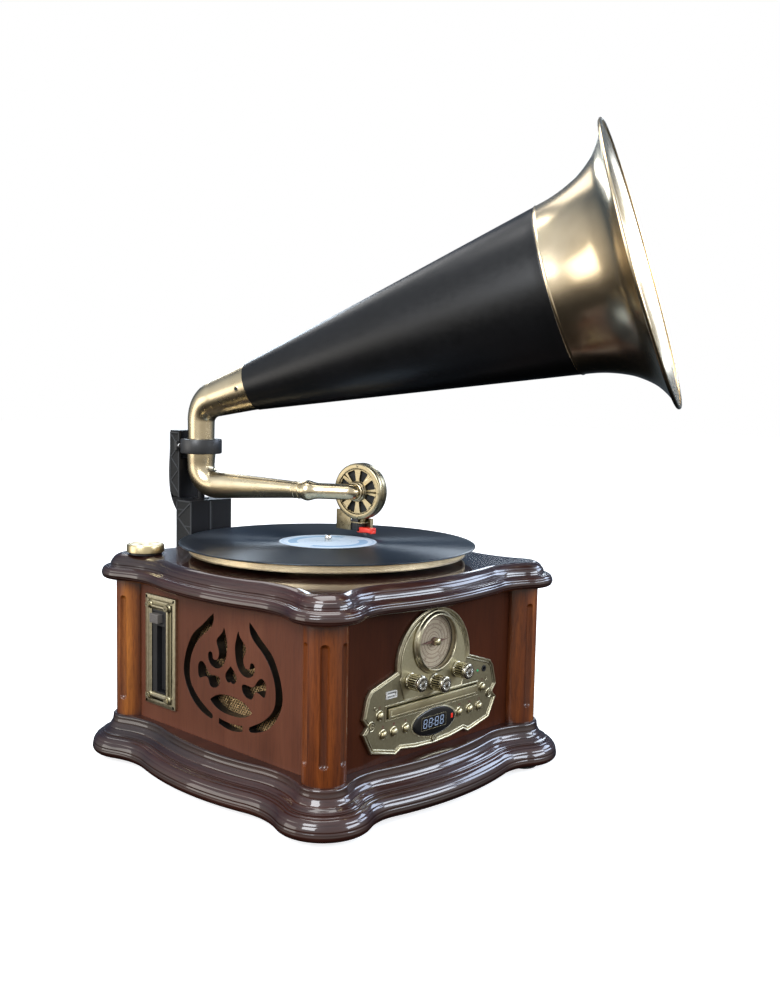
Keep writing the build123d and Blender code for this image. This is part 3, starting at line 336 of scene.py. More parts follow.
M["card"] = plastic("cream_card", (0.46, 0.37, 0.25), 0.6, 0.1, 0.0, 700, 0.04, c2=(0.58, 0.48, 0.34), spec=0.2)
M["print"] = plastic("brown_print", (0.13, 0.055, 0.035), 0.6, 0.05, 0.0, 700, 0.02)
M["label"] = plastic("paper_label", (0.42, 0.50, 0.58), 0.6, 0.1, 0.0, 800, 0.04, c2=(0.50, 0.58, 0.66), spec=0.1)
M["label_ink"] = plastic("label_ink", (0.20, 0.32, 0.46), 0.6, 0.1, 0.0, 800, 0.03, c2=(0.26, 0.38, 0.52), spec=0.1)
M["red"] = plastic("red_plastic", (0.60, 0.028, 0.014), 0.22, 0.05, 0.0003, 500, 0.03, coat=0.4)
M["white_pl"] = plastic("white_plastic", (0.62, 0.61, 0.58), 0.35, 0.05, 0.0003)
M["green"] = plastic("circuit_green", (0.010, 0.085, 0.028), 0.35, 0.08, 0.0003, 600, 0.1, coat=0.3)
M["steel"] = metal("steel", (0.48, 0.48, 0.49), 0.32, 0.08, scale=160, brushed=(1, 1, 0.1))
M["cone_paper"] = plastic("speaker_paper", (0.016, 0.015, 0.015), 0.8, 0.1, 0.0, 500, 0.4)
M["mesh"] = brass("mesh_brass", (0.66, 0.42, 0.20), (0.86, 0.60, 0.32), (1.0, 0.76, 0.45), 0.45, 0.08, 0.0, scale=300)

def emit(name, c, s, base):
    w = Mat(name, Roughness=0.3); w.b.inputs["Emission Strength"].default_value = s
    n1 = w.noise(w.coords(), 300, 2); w.color(w.ramp(n1, [(0.3, base), (0.7, tuple(min(1, x*1.2) for x in base))]))
    w.l(w.ramp(n1, [(0.3, c), (0.7, tuple(min(1, x*1.1) for x in c))]), w.b.inputs["Emission Color"])
    return w.m
M["digit"] = emit("digit_glow", (0.46, 0.58, 0.78), 0.22, (0.25, 0.32, 0.45))
M["led_red"] = emit("red_lamp", (0.75, 0.03, 0.01), 0.35, (0.5, 0.02, 0.01))
M["led_green"] = emit("green_lamp", (0.05, 0.5, 0.25), 0.3, (0.02, 0.3, 0.1))

def glass_mat():
    w = Mat("dial_glass"); nt = w.nt
    tr = w.n("ShaderNodeBsdfTransparent"); gl = w.n("ShaderNodeBsdfGlossy"); gl.inputs["Roughness"].default_value = 0.02
    n1 = w.noise(w.coords(), 60, 2); w.l(w.ramp(n1, [(0.3, (0.94, 0.95, 0.96)), (0.7, (1, 1, 1))]), tr.inputs["Color"])
    fr = w.n("ShaderNodeLayerWeight"); fr.inputs["Blend"].default_value = 0.5; pw = w.n("ShaderNodeMath", operation="POWER"); w.l(fr.outputs["Facing"], pw.inputs[0]); pw.inputs[1].default_value = 4.0
    mx = w.n("ShaderNodeMixShader"); w.l(w.rng(pw.outputs[0], 0.03, 0.85), mx.inputs[0]); w.l(tr.outputs[0], mx.inputs[1]); w.l(gl.outputs[0], mx.inputs[2])
    w.l(mx.outputs[0], nt.nodes["Material Output"].inputs["Surface"]); nt.nodes.remove(w.b)
    return w.m
M["glass"] = glass_mat()

def vinyl_mat():
    w = Mat("vinyl", Metallic=0.0); b = w.b
    b.inputs["Specular IOR Level"].default_value = 0.45
    tc = w.n("ShaderNodeTexCoord"); sp = w.n("ShaderNodeSeparateXYZ"); w.l(tc.outputs["Object"], sp.inputs[0])
    def mth(op, a, c=None):
        q = w.n("ShaderNodeMath", operation=op)
        for s, v in ((q.inputs[0], a), (q.inputs[1], c)):
            if v is None: continue
            if isinstance(v, (int, float)): s.default_value = v
            else: w.l(v, s)
        return q.outputs[0]
    dx = mth("SUBTRACT", sp.outputs[0], 0.004); dy = mth("SUBTRACT", sp.outputs[1], 0.004)
    r = mth("SQRT", mth("ADD", mth("MULTIPLY", dx, dx), mth("MULTIPLY", dy, dy)))
    cb = w.n("ShaderNodeCombineXYZ"); w.l(r, cb.inputs[0])
    n1 = w.noise(cb.outputs[0], 900, 3, 0.7); n2 = w.noise(cb.outputs[0], 75, 2, 0.5)
    w.color(w.ramp(n2, [(0.35, (0.0055, 0.0075, 0.0115)), (0.65, (0.0075, 0.0100, 0.0150))]))
    w.rough(w.rng(n2, 0.335, 0.342, 0.35, 0.65))
    b.inputs["Specular Tint"].default_value = (0.74, 0.87, 1.0, 1)
    b.inputs["Anisotropic"].default_value = 0.92; b.inputs["Anisotropic Rotation"].default_value = 0.25
    tg = w.n("ShaderNodeTangent", direction_type="RADIAL", axis="Z"); w.l(tg.outputs[0], b.inputs["Tangent"])
    w.bump(n1, 0.003, 0.0001)
    return w.m
M["vinyl"] = vinyl_mat()

# ---------------------------------------------------------------------------- cabinet mouldings
COL_X, COL_Y, COL_R = 134.8, 142.35, 19.4
def side_arcs(ex, ey, swell, hollow, at):
    d = hollow-ey; du = ex-at
    rc = (du*du/(COL_R-d)-(COL_R+d))/2; cv, cu = hollow+rc, at
    k = cv-swell; rb = (rc*rc-k*k-cu*cu)/(2*(k-rc)); bv = swell-rb
    L = hypot(cu-ex, cv-ey); L2 = hypot(cu, cv-bv)
    return dict(t1=(ex+COL_R*(cu-ex)/L, ey+COL_R*(cv-ey)/L), t2=(rb*cu/L2, bv+rb*(cv-bv)/L2), c=(cu, cv), rc=rc, rb=rb, b=(0, bv))
SIDE = side_arcs(COL_Y, COL_X, 156.0, 144.6, 95.0)
FRONT = side_arcs(COL_X, COL_Y, 161.0, 150.4, 90.0)
def outline_pts(nb=34, nh=16, ne=22):
    """Points and outward normals round the serpentine plan, counter-clockwise."""
    out = []
    def side(S, ear, f):
        ex, ey = ear; b, c = S["b"], S["c"]
        def run(cn, r, p, q, n, sgn):
            a0 = atan2(p[1]-cn[1], p[0]-cn[0]); a1 = atan2(q[1]-cn[1], q[0]-cn[0])
            while a1-a0 > pi: a1 -= 2*pi
            while a0-a1 > pi: a1 += 2*pi
            for i in range(n):
                t = a0+(a1-a0)*i/n; u, v = cn[0]+r*cos(t), cn[1]+r*sin(t)
                add(u, v, sgn*cos(t), sgn*sin(t))
        def add(u, v, nu, nv):
            x, y = f(u, v); nx, ny = f(nu, nv); out.append((x, y, nx, ny))
        t1, t2 = S["t1"], S["t2"]
        run((-c[0], c[1]), S["rc"], (-t1[0], t1[1]), (-t2[0], t2[1]), nh, -1)
        run(b, S["rb"], (-t2[0], t2[1]), t2, nb, 1)
        run(c, S["rc"], t2, t1, nh, -1)
        # the ear, from this side's end to the next side's start
    sides = [(FRONT, (COL_X, COL_Y), lambda u, v: (u, -v)), (SIDE, (COL_Y, COL_X), lambda u, v: (v, u)),
             (FRONT, (COL_X, COL_Y), lambda u, v: (-u, v)), (SIDE, (COL_Y, COL_X), lambda u, v: (-v, -u))]
    ears = [(COL_X, -COL_Y), (COL_X, COL_Y), (-COL_X, COL_Y), (-COL_X, -COL_Y)]
    for i, (S, e, f) in enumerate(sides):
        side(S, e, f)
        S2, e2, f2 = sides[(i+1) % 4]
        p = f(*S["t1"]); q = f2(-S2["t1"][0], S2["t1"][1]); cx, cy = ears[i]
        a0 = atan2(p[1]-cy, p[0]-cx); a1 = atan2(q[1]-cy, q[0]-cx)
        while a1 < a0: a1 += 2*pi
        for k in range(ne):
            t = a0+(a1-a0)*k/ne; out.append((cx+COL_R*cos(t), cy+COL_R*sin(t), cos(t), sin(t)))
    return out
OUT = outline_pts()
def moulding(prof, cap_low, cap_high):
    n = len(OUT); v, f, uvs = [], [], []
    s = [0.0]
    for i in range(n):
        a, b = OUT[i], OUT[(i+1) % n]; s.append(s[-1]+hypot(a[0]-b[0], a[1]-b[1]))
    L = [0.0]
    for p, q in zip(prof, prof[1:]): L.append(L[-1]+hypot(p[0]-q[0], p[1]-q[1]))
    for o, z in prof: v += [(x+nx*o, y+ny*o, z) for x, y, nx, ny in OUT]
    for k in range(len(prof)-1):
        for i in range(n):
            j = (i+1) % n
            f.append((k*n+i, k*n+j, (k+1)*n+j, (k+1)*n+i))
            uvs.append([(s[i]*MM, L[k]*MM), (s[i+1]*MM, L[k]*MM), (s[i+1]*MM, L[k+1]*MM), (s[i]*MM, L[k+1]*MM)])
    for k, on in ((0, cap_low), (len(prof)-1, cap_high)):
        if on:
            idx = [k*n+i for i in range(n)]
            if k: idx.reverse()
            f.append(tuple(idx)); uvs.append([(v[i][0]*MM, v[i][1]*MM) for i in idx])
    return v, f, uvs
def ridged(prof, n, amp, s0=0.0, s1=1.0, step=0.55):
    """The same profile, resampled, with n fine grooves cut along it."""
    L = [0.0]
    for p, q in zip(prof, prof[1:]): L.append(L[-1]+hypot(p[0]-q[0], p[1]-q[1]))
    T = L[-1]; m = int(T/step); P = []
    for i in range(m+1):
        t = T*i/m; k = max(j for j in range(len(L)-1) if L[j] <= t+1e-9)
        u = (t-L[k])/max(L[k+1]-L[k], 1e-9); P.append((prof[k][0]*(1-u)+prof[k+1][0]*u, prof[k][1]*(1-u)+prof[k+1][1]*u))
    out_ = []
    for i, (o, z) in enumerate(P):
        a, b = P[max(i-1, 0)], P[min(i+1, m)]; d = hypot(b[0]-a[0], b[1]-a[1]) or 1.0
        nx, nz = (b[1]-a[1])/d, -(b[0]-a[0])/d; t = i/m
        w_ = 0.0
        if s0 < t < s1: q = (t-s0)/(s1-s0)*n; w_ = amp*max(0.0, 1-abs(q-round(q))*5.0)**1.3 if 0 < round(q) < n else 0.0
        out_.append((o-nx*w_, z-nz*w_))
    return out_
base_prof = [(19.0, 6.2)] + arc3((19.0, 6.2), (23.4, 8.2), (24.2, 13.0), 9)[1:] + arc3((24.2, 13.0), (21.6, 21.0), (14.4, 26.3), 14)[1:] + [(14.4, 27.6), (13.0, 28.2)] \
    + arc3((13.0, 28.2), (6.2, 33.9), (3.4, 43.0), 12)[1:] + arc3((3.4, 43.0), (2.9, 44.3), (1.6, 45.0), 4)[1:]
base_prof = ridged(base_prof, 7, 0.42, 0.12, 0.95)
v, f, uv = moulding(base_prof, True, True)
base = mesh("base_moulding_wood", v, f, M["moulding"], "cabinet", "walnut", ["base_moulding"], 24, uvs=uv, fixn=False)
cut(base, boxm(-117, 117, -124, 124, 0, 60)); cut(base, boxm(-122, 122, -129, 129, 0, 12.2))
top_prof = [(2.0, 185.0), (9.0, 185.6)] + arc3((9.0, 185.6), (13.2, 187.0), (14.6, 191.6), 9)[1:] + arc3((14.6, 191.6), (13.4, 195.4), (7.6, 198.2), 10)[1:] \
    + [(5.6, 198.6), (5.6, 200.8)] + arc3((5.6, 200.8), (2.2, 206.4), (-4.0, 210.0), 12)[1:]
top_prof = ridged(top_prof, 6, 0.42, 0.18, 0.92)
v, f, uv = moulding(top_prof, True, True)
top = mesh("top_board_wood", v, f, M["moulding"], "cabinet", "walnut", ["top_board"], 24, uvs=uv, fixn=False)
cut(top, boxm(-112, 112, -118, 118, 180, 198)); cut(top, boxm(-55.0, 0.2, 145.9, 230, 150, 230))
cut(top, lathe([(0, 150), (9.0, 150), (9.0, 230), (0, 230)], (4, 4, 0), (0, 0, 1), 40)); cut(top, lathe([(0, 150), (8.0, 150), (8.0, 230), (0, 230)], (-63.2, 71.2, 0), (0, 0, 1), 40))
top.data.materials.append(M["top"])
for p in top.data.polygons:
    if p.normal.z > 0.999 and p.center.z > 0.2095: p.material_index = 1
for o in (base, top):
    for p in o.data.polygons: p.use_smooth = True
    o.data.set_sharp_from_angle(angle=radians(24))
    for p in o.data.polygons:
        if abs(p.normal.z) > 0.999: p.use_smooth = False

# ---------------------------------------------------------------------------- columns
def column(sx, sy, name):
    """A three-fluted corner column, hollowed at the back where the panels meet it."""
    na, zs = 240, []
    flutes = (-15, 45, 105)
    zs = [45.0, 60.9] + [65-4.1*cos(radians(a)) for a in range(10, 91, 10)] + [164.4] + [164.4+4.1*sin(radians(a)) for a in range(10, 90, 10)] + [168.5, 185.0]
    v, f = [], []
    for z in zs:
        if z < 65: rr2 = 4.1**2-(65-z)**2
        elif z > 164.4: rr2 = 4.1**2-(z-164.4)**2
        else: rr2 = 4.1**2
        rr = sqrt(rr2) if rr2 > 0 else 0.0
        for i in range(na):
            t = -pi+2*pi*i/na; r = 19.4
            for a in flutes:
                d = (degrees(t)-a+180) % 360-180
                if abs(d) < 14 and rr > 0.05:
                    # distance from the axis to the flute's cylinder along this direction
                    c0 = 20.6; th = radians(d); disc = rr*rr-(c0*sin(th))**2
                    if disc > 0: r = min(r, c0*cos(th)-sqrt(disc))
            v.append((COL_X+r*cos(t), COL_Y+r*sin(t), z))
    for k in range(len(zs)-1):
        for i in range(na):
            j = (i+1) % na
            f.append((k*na+i, k*na+j, (k+1)*na+j, (k+1)*na+i))
    f.append(tuple(reversed(range(na)))); f.append(tuple((len(zs)-1)*na+i for i in range(na)))
    v = [(x*sx, y*sy, z) for x, y, z in v]
    o = mesh(name, v, f, M["column"], "cabinet", "honey_wood", sharp=26)
    cut(o, boxm(min(sx*131.7, sx*140.7), max(sx*131.7, sx*140.7), min(0, sy*126.95), max(0, sy*126.95), 0, 300))
    cut(o, boxm(min(0, sx*119.35), max(0, sx*119.35), min(sy*135.9, sy*144.9), max(sy*135.9, sy*144.9), 0, 300))
    for p in o.data.polygons: p.use_smooth = True
    o.data.set_sharp_from_angle(angle=radians(26))
    return o
cols = [column(sx, sy, "column_%s_%s" % ("right" if sx > 0 else "left", "front" if sy < 0 else "rear")) for sx in (-1, 1) for sy in (-1, 1)]
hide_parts("corner_columns")

# ---------------------------------------------------------------------------- plate on the front
FP0, FP1 = -148.5, -144.9
half = [(0, 49.4), (24, 50.6), (44.5, 53.6), (51.4, 50.0), (83.5, 57.8), (94.4, 77.4), (88.6, 83.4), (94.2, 90.6), (88.8, 110.4), (84.0, 116.4), (51.4, 127.0)]
dome = arc3((51.4, 127.0), (0, 180.2), (-51.4, 127.0), 44)
fp_out = half[:-1] + dome + [(-x, z) for x, z in reversed(half[1:-1])]
pf = lambda u, w, h: (u, FP1-h, w)                    # h is the height above the wooden panel
g = G()
g.add(rim(fp_out, [(0, 0), (0, 2.7), (0.25, 3.25), (0.8, 3.6), (1.5, 3.55), (2.0, 3.2), (2.25, 2.7), (2.5, 2.45), (2.9, 2.6), (3.15, 3.0), (3.6, 3.3), (4.1, 3.2), (4.45, 2.9), (4.6, 2.6)], pf), 0)
floor_poly = inset(fp_out, 4.6)
def circ(cx, cz, r, n=40, ry=None): return [(cx+r*cos(2*pi*i/n), cz+(ry or r)*sin(2*pi*i/n)) for i in range(n)]
def rect(x0, x1, z0, z1): return [(x0, z0), (x1, z0), (x1, z1), (x0, z1)]
BTN = [(-72.2, 90.6), (-67.9, 72.4), (-53.6, 72.4), (-37.8, 72.4), (72.2, 90.6), (37.8, 72.4), (53.6, 72.4), (67.9, 72.4)]
KNB = [(-33, 115.5), (0, 109.0), (33, 115.5)]
SCR = [(-83.2, 82.8), (83.2, 82.8), (1.2, 54.8)]
holes = [circ(0, 147.4, 26.2, 72), rect(-63.4, 63.4, 85.4, 96.2), circ(1.0, 71.0, 30.0, 64, 13.2), rect(-65.2, -51.2, 104.0, 111.0), circ(74.6, 108.9, 3.15, 28)]
holes += [circ(x, z, 3.95, 28) for x, z in BTN] + [circ(x, z, 3.5, 28) for x, z in KNB]
def plate(outer, hs, h, depth, place):
    """A flat plate with holes, and the walls of the holes."""
    loops = [[Vector((p[0], p[1], 0)) for p in outer]] + [[Vector((p[0], p[1], 0)) for p in reversed(q)] for q in hs]
    tri = tessellate_polygon(loops); flat = [p for l in loops for p in l]
    v = [place(p.x, p.y, h) for p in flat]; f = [tuple(t) for t in tri]
    for q in hs:
        n, k = len(q), len(v)
        v += [place(p[0], p[1], h) for p in q] + [place(p[0], p[1], h-depth) for p in q]
        f += [(k+i, k+(i+1) % n, k+n+(i+1) % n, k+n+i) for i in range(n)]
    return v, f
g.add(plate(floor_poly, holes, 2.6, 2.5, pf), 1)
plate_ob = g.make("faceplate_relief", [M["antique_light"], M["antique"]], "cabinet", slot="antique_brass", replaces=["faceplate"], sharp=28)
# the raised field behind the dial and the knobs, with its own fine rim
dome_in = inset(fp_out, 5.6)
arc_pts = [p for p in dome_in if p[1] > 121.5]
fld = [(-40.4, 98.0), (40.4, 98.0), (47.6, 118.4), (45.6, 121.0)] + sorted([p for p in arc_pts if abs(p[0]) < 49], key=lambda p: -p[0]) + [(-45.6, 121.0), (-47.6, 118.4)]
fhole = [circ(0, 147.4, 30.0, 72)] + [circ(x, z, 3.5, 28) for x, z in KNB]
g = G()
g.add(rim(fld, [(0, 2.5), (0, 2.9), (0.25, 3.25), (0.6, 3.35), (0.95, 3.2), (1.2, 2.82)], pf), 0)
g.add(plate(inset(fld, 1.2), fhole, 2.82, 0.3, pf), 2)
# a rope of small beads round the display, and one inside the dome
def bead(cx, cz, r, h, k=1.0):
    v, f = lathe([(r, 0), (r*0.92, r*0.38*k), (r*0.7, r*0.7*k), (r*0.38, r*0.92*k), (0, r*k)], (0, 0, 0), (0, -1, 0), 8)
    return [(p[0]+cx, FP1-h+p[1], p[2]+cz) for p in v], f
for i in range(76):
    t = 2*pi*i/76; g.add(bead(1.0+31.0*cos(t), 71.0+14.2*sin(t), 0.62, 2.6), 0)
for i, p in enumerate(inset(fp_out, 7.8)):
    if p[1] > 126 and abs(p[0]) < 46 and hypot(p[0], p[1]-147.4) > 31.2: g.add(bead(p[0], p[1], 0.42, 2.82), 0)
for x, z in SCR:
    g.add(([(x+r*cos(2*pi*i/32), FP1-h, z+r*sin(2*pi*i/32)) for r, h in ((3.7, 2.55), (3.8, 3.0), (4.3, 3.3), (4.8, 3.0), (5.0, 2.55)) for i in range(32)],
           [(k*32+i, k*32+(i+1) % 32, (k+1)*32+(i+1) % 32, (k+1)*32+i) for k in range(4) for i in range(32)]), 0)
# collars round the buttons and a frame round the drawer
for x, z in BTN:
    g.add(([(x+r*cos(2*pi*i/32), FP1-h, z+r*sin(2*pi*i/32)) for r, h in ((3.95, 2.5), (3.97, 3.0), (4.35, 3.25), (4.8, 3.05), (5.1, 2.55)) for i in range(32)],
           [(k*32+i, k*32+(i+1) % 32, (k+1)*32+(i+1) % 32, (k+1)*32+i) for k in range(4) for i in range(32)]), 0)
sl = rect(-65.6, 65.6, 83.4, 98.2)
g.add(rim(sl, [(0, 2.5), (0, 2.95), (0.3, 3.15), (0.75, 3.15), (1.0, 2.9), (1.15, 2.55)], pf), 0)
# short engraved scrolls in the upper corners of the plate
for s in (-1, 1):
    for (cx, cz, r, a0, a1) in ((78.0, 99.0, 3.0, 200, 420), (60.0, 119.4, 2.2, 0, 250)):
        pts = [(s*(cx+(r*(1-i/36))*cos(radians(a0+(a1-a0)*i/24))), FP1-2.75, cz+(r*(1-i/36))*sin(radians(a0+(a1-a0)*i/24))) for i in range(25)]
        g.add(tube(pts, [0.16+0.22*sin(pi*i/24) for i in range(25)], 8), 0)
g.make("faceplate_ornament", [M["antique_light"], M["antique_light"], M["antique_mid"]], "cabinet", slot="antique_brass", sharp=30)
# small generic symbols over the keys
g = G(); H0, H1 = 2.55, 2.68
def sym(poly): g.add(prism(poly, H1, H0, pf), 0)
def tri(cx, cz, s, d=1): sym([(cx-d*s*0.8, cz-s), (cx+d*s, cz), (cx-d*s*0.8, cz+s)][::d])
tri(-37.8, 79.6, 1.3); sym(rect(-54.8, -52.4, 78.4, 80.8)); sym([(-69.3, 79.2), (-66.5, 79.2), (-67.9, 81.2)]); sym(rect(-69.3, -66.5, 77.9, 78.6))
tri(37.4, 79.6, 1.1, -1); tri(39.2, 79.6, 1.1, -1); tri(52.8, 79.6, 1.1); tri(54.6, 79.6, 1.1)
for x, z in ((-72.2, 98.0), (72.2, 98.0), (67.9, 79.6)):
    v, f = lathe([(1.0, 0), (1.35, 0), (1.35, 0.13), (1.0, 0.13), (1.0, 0)], (x, FP1-2.55, z), (0, -1, 0), 20); g.add((v, f), 0)
g.make("key_symbols", M["print"], "cabinet", slot="antique_brass")

# dial: ring, card, printed scales, hand and glass
prof = [(30.2, 0), (30.2, 1.6), (29.7, 2.2), (28.9, 2.3), (28.5, 2.6), (28.3, 3.3), (27.7, 4.4), (26.9, 5.1), (26.2, 5.35), (25.7, 5.2), (25.45, 4.7), (25.4, 4.0), (25.4, 0), (30.2, 0)]
lt = lathe(prof, (0, FP0+1.0, 147.4), (0, -1, 0), 144, mod=lambda k, i, t: 1.004 if k in (3, 4) and i % 4 < 2 else 1.0)
mesh("dial_ring", lt[0], lt[1], M["antique_light"], "cabinet", "antique_brass", ["dial_bezel"], 30)
lt = lathe([(2.6, -0.0), (26.0, 0.0), (26.0, 1.2), (25.6, 1.55), (23.8, 1.6), (2.6, 1.6)], (0, -144.0, 147.4), (0, -1, 0), 96)
mesh("dial_face", lt[0], lt[1], M["card"], "cabinet", "cream_card", ["dial_card"], 30)
g = G(); DY = -145.68
def flat_ring(r0, r1, a0=0, a1=360, n=120):
    v, f = [], []
    for i in range(n+1):
        t = radians(a0+(a1-a0)*i/n)
        v += [(r0*cos(t), DY, 147.4+r0*sin(t)), (r1*cos(t), DY, 147.4+r1*sin(t))]
    return v, [(2*i, 2*i+1, 2*i+3, 2*i+2) for i in range(n)]
for r0, r1 in ((24.0, 24.5), (20.1, 20.5), (16.5, 16.9), (15.6, 15.9), (12.3, 12.7), (8.5, 8.9), (6.0, 6.3)): g.add(flat_ring(r0, r1))
def ticks(r0, r1, n, w, skip=1):
    for i in range(n):
        if i % skip: continue
        t = 2*pi*i/n; c, s = cos(t), sin(t)
        if abs((degrees(t) % 360)-270) < 14: continue
        g.add(([(r0*c-w*s, DY, 147.4+r0*s+w*c), (r0*c+w*s, DY, 147.4+r0*s-w*c), (r1*c+w*s, DY, 147.4+r1*s-w*c), (r1*c-w*s, DY, 147.4+r1*s+w*c)], [(0, 1, 2, 3)]))
ticks(20.5, 21.7, 120, 0.09); ticks(20.5, 22.9, 24, 0.16); ticks(12.7, 13.5, 90, 0.08); ticks(12.7, 14.3, 18, 0.14); ticks(8.9, 9.6, 60, 0.07)
g.make("dial_scales", M["print"], "cabinet", slot="cream_card", sharp=180, fixn=False)
def number(txt, r, deg, size):
    cu = bpy.data.curves.new("num_"+txt, "FONT"); cu.body = txt; cu.size = size*MM; cu.align_x = "CENTER"; cu.align_y = "CENTER"; cu.extrude = 0.00002
    o = bpy.data.objects.new("dial_number_"+txt, cu); bpy.context.scene.collection.objects.link(o)
    t = radians(deg)
    o.matrix_world = Matrix.Translation(Vector((r*cos(t), DY-0.02, 147.4+r*sin(t)))*MM) @ Matrix.Rotation(radians(90), 4, "X") @ Matrix.Rotation(t-pi/2, 4, "Z")
    dg = bpy.context.evaluated_depsgraph_get(); me = bpy.data.meshes.new_from_object(o.evaluated_get(dg)); mw = o.matrix_world.copy()
    bpy.data.objects.remove(o); bpy.data.curves.remove(cu)
    me.transform(mw); return me
nums = [number(str(n), 18.5, 235-290*i/5, 2.6) for i, n in enumerate((88, 92, 96, 100, 104, 108))] + [number(str(n), 14.2+0.0, 235-290*i/6, 1.7) for i, n in enumerate((54, 60, 70, 90, 120, 140, 160))]
bm = bmesh.new()
for me in nums: bm.from_mesh(me); bpy.data.meshes.remove(me)
nm = bpy.data.meshes.new("dial_numbers"); bm.to_mesh(nm); bm.free(); nm.materials.clear(); nm.materials.append(M["print"])
o = bpy.data.objects.new("dial_numbers", nm); bpy.context.scene.collection.objects.link(o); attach(o, "cabinet")
# hand: two tapered wings, a hub and a brass cap
g = G()
wing = []
for i in range(25):
    u = -17.0+34.0*i/24; a = abs(u)
    wing.append((u, 0.28+1.5*max(0.0, 1-a/17.0)**1.6+(0.75*max(0.0, 1-abs(a-9.0)/4.0))))
poly = [(u, -h) for u, h in wing] + [(u, h) for u, h in reversed(wing)]
g.add(prism([(u, w+147.4) for u, w in poly], 0.75, 0.0, lambda u, w, h: (u, -147.25-h, w)), 0)
g.add(lathe([(0, 0), (2.2, 0), (2.2, 10.4), (4.0, 10.6), (4.0, 13.2), (3.6, 13.5), (3.5, 13.6)], (0, -136.0, 147.4), (0, -1, 0), 40), 0)
g.add(lathe([(3.5, 0), (3.5, 2.6), (3.3, 3.3), (2.6, 3.85), (1.4, 4.15), (0, 4.2)], (0, -149.4, 147.4), (0, -1, 0), 40), 1)
g.make("dial_hand_wings", [M["print"], M["button"]], "dial_hand", slot="antique_brass", replaces=["dial_pointer"])
lt = lathe([(3.9, 0), (25.3, 0), (25.3, 1.2), (25.0, 1.4), (3.9, 1.4), (3.9, 0)], (0, -150.2, 147.4), (0, -1, 0), 96)
mesh("dial_crystal", lt[0], lt[1], M["glass"], "cabinet", "clear_glass", ["dial_glass"], 30)

# knobs: a fine ribbed barrel, a bright collar and a faceted face
def knob(x, z, body, node):
    g = G(); y0 = FP0+0.7; n = 180
    side = [(7.2, 0), (7.65, 0.3), (7.7, 0.9), (7.7, 1.6), (7.25, 1.9), (7.25, 2.2), (7.6, 2.5), (7.6, 12.4), (7.25, 12.7), (7.25, 13.0), (7.7, 13.3), (7.7, 14.2), (7.3, 15.1), (6.5, 15.7)]
    v, f = lathe(side, (x, y0, z), (0, -1, 0), n, mod=lambda k, i, t: (0.90 if k in (6, 7) and i % 9 >= 5 else 1.0))
    # the recessed groove floors take the near-black metal: painted shade in the grooves
    low = [q for j, q in enumerate(f) if j // n == 6 and (j % n) % 9 in (5, 6, 7)]; rest = [q for j, q in enumerate(f) if not (j // n == 6 and (j % n) % 9 in (5, 6, 7))]
    g.v += v; k0 = 0; g.f += rest+low; g.m += [0]*len(rest)+[2]*len(low)
    face = [(6.5, 15.7), (5.2, 15.95), (3.4, 15.5), (1.6, 15.9), (0, 16.0)]
    g.add(lathe(face, (x, y0, z), (0, -1, 0), 48, mod=lambda k, i, t: 1.0), 1)
    for i in range(16):
        a = 2*pi*i/16; d = (cos(a), sin(a)); q = (cos(a+0.1), sin(a+0.1)); q2 = (cos(a-0.1), sin(a-0.1))
        P = lambda r, e, h: (x+r*e[0], y0-h, z+r*e[1])
        g.add(([P(2.2, q, 15.75), P(2.2, q2, 15.75), P(6.3, q2, 15.65), P(6.3, q, 15.65), P(4.2, d, 16.0)], [(0, 1, 4), (1, 2, 4), (2, 3, 4), (3, 0, 4)]), 1)
    g.add(lathe([(3.0, 0), (3.0, 20.5), (0, 20.5)], (x, y0+0.2, z), (0, 1, 0), 32), 0)
    return g.make(node+"_ribbed", [M["knob_side"], M["knob_face"], M["knob_groove_shade"]], body, slot="chrome", replaces=[node], sharp=24)
knob(-33, 115.5, "volume", "volume_knob"); knob(0, 109.0, "function", "function_knob"); knob(33, 115.5, "tuning", "tuning_knob")
names = ["power", "eject", "stop", "play", "mode", "previous", "next", "repeat"]
for (x, z), nme in zip(BTN, names):
    g = G()
    g.add(lathe([(0, 0), (2.2, 0), (2.2, 9.9), (3.75, 10.0), (3.75, 14.3), (3.68, 14.9), (3.4, 15.5), (2.8, 16.0), (1.9, 16.35), (0.9, 16.5), (0, 16.55)], (x, -134.4, z), (0, -1, 0), 48), 0)
    g.make(nme+"_button_domed", [M["button"]], nme+"_key", slot="soft_brass", replaces=[nme+"_button"], sharp=30)
# disc drawer: a bright bar with a fine raised border
g = G()
g.add(boxm(-62.4, 62.4, FP0-1.4, FP0+3.0, 86.4, 95.2, 0.35), 1)
bar = rect(-61.6, 61.6, 87.2, 94.4)
g.add(rim(bar, [(0, 4.95), (0.1, 5.35), (0.35, 5.4), (0.7, 5.35), (0.85, 4.98)], pf), 0)
for i in range(6): g.add(boxm(-60.2, -58.9, FP0-1.65, FP0-1.3, 88.4+i*1.0, 88.9+i*1.0, 0.1), 0)
drawer_ob = g.make("drawer_front", [M["antique_light"], M["button"]], "drawer", slot="soft_brass")
tb = boxm(-61.4, 61.4, FP0+2.6, -9.0, 86.8, 92.4, 0.4)
tray = mesh("drawer_tray", tb[0], tb[1], M["black_plastic"], "drawer", "soft_brass", ["cd_tray"], 30)
for (r0, z0, z1) in ((60.6, 89.4, 95), (41.0, 88.6, 95), (18.0, 80, 95)):
    cut(tray, lathe([(0, z0), (r0, z0), (r0+0.0, z1), (0, z1)], (0, -74.0, 0), (0, 0, 1), 96))
tray.data.set_sharp_from_angle(angle=radians(30))

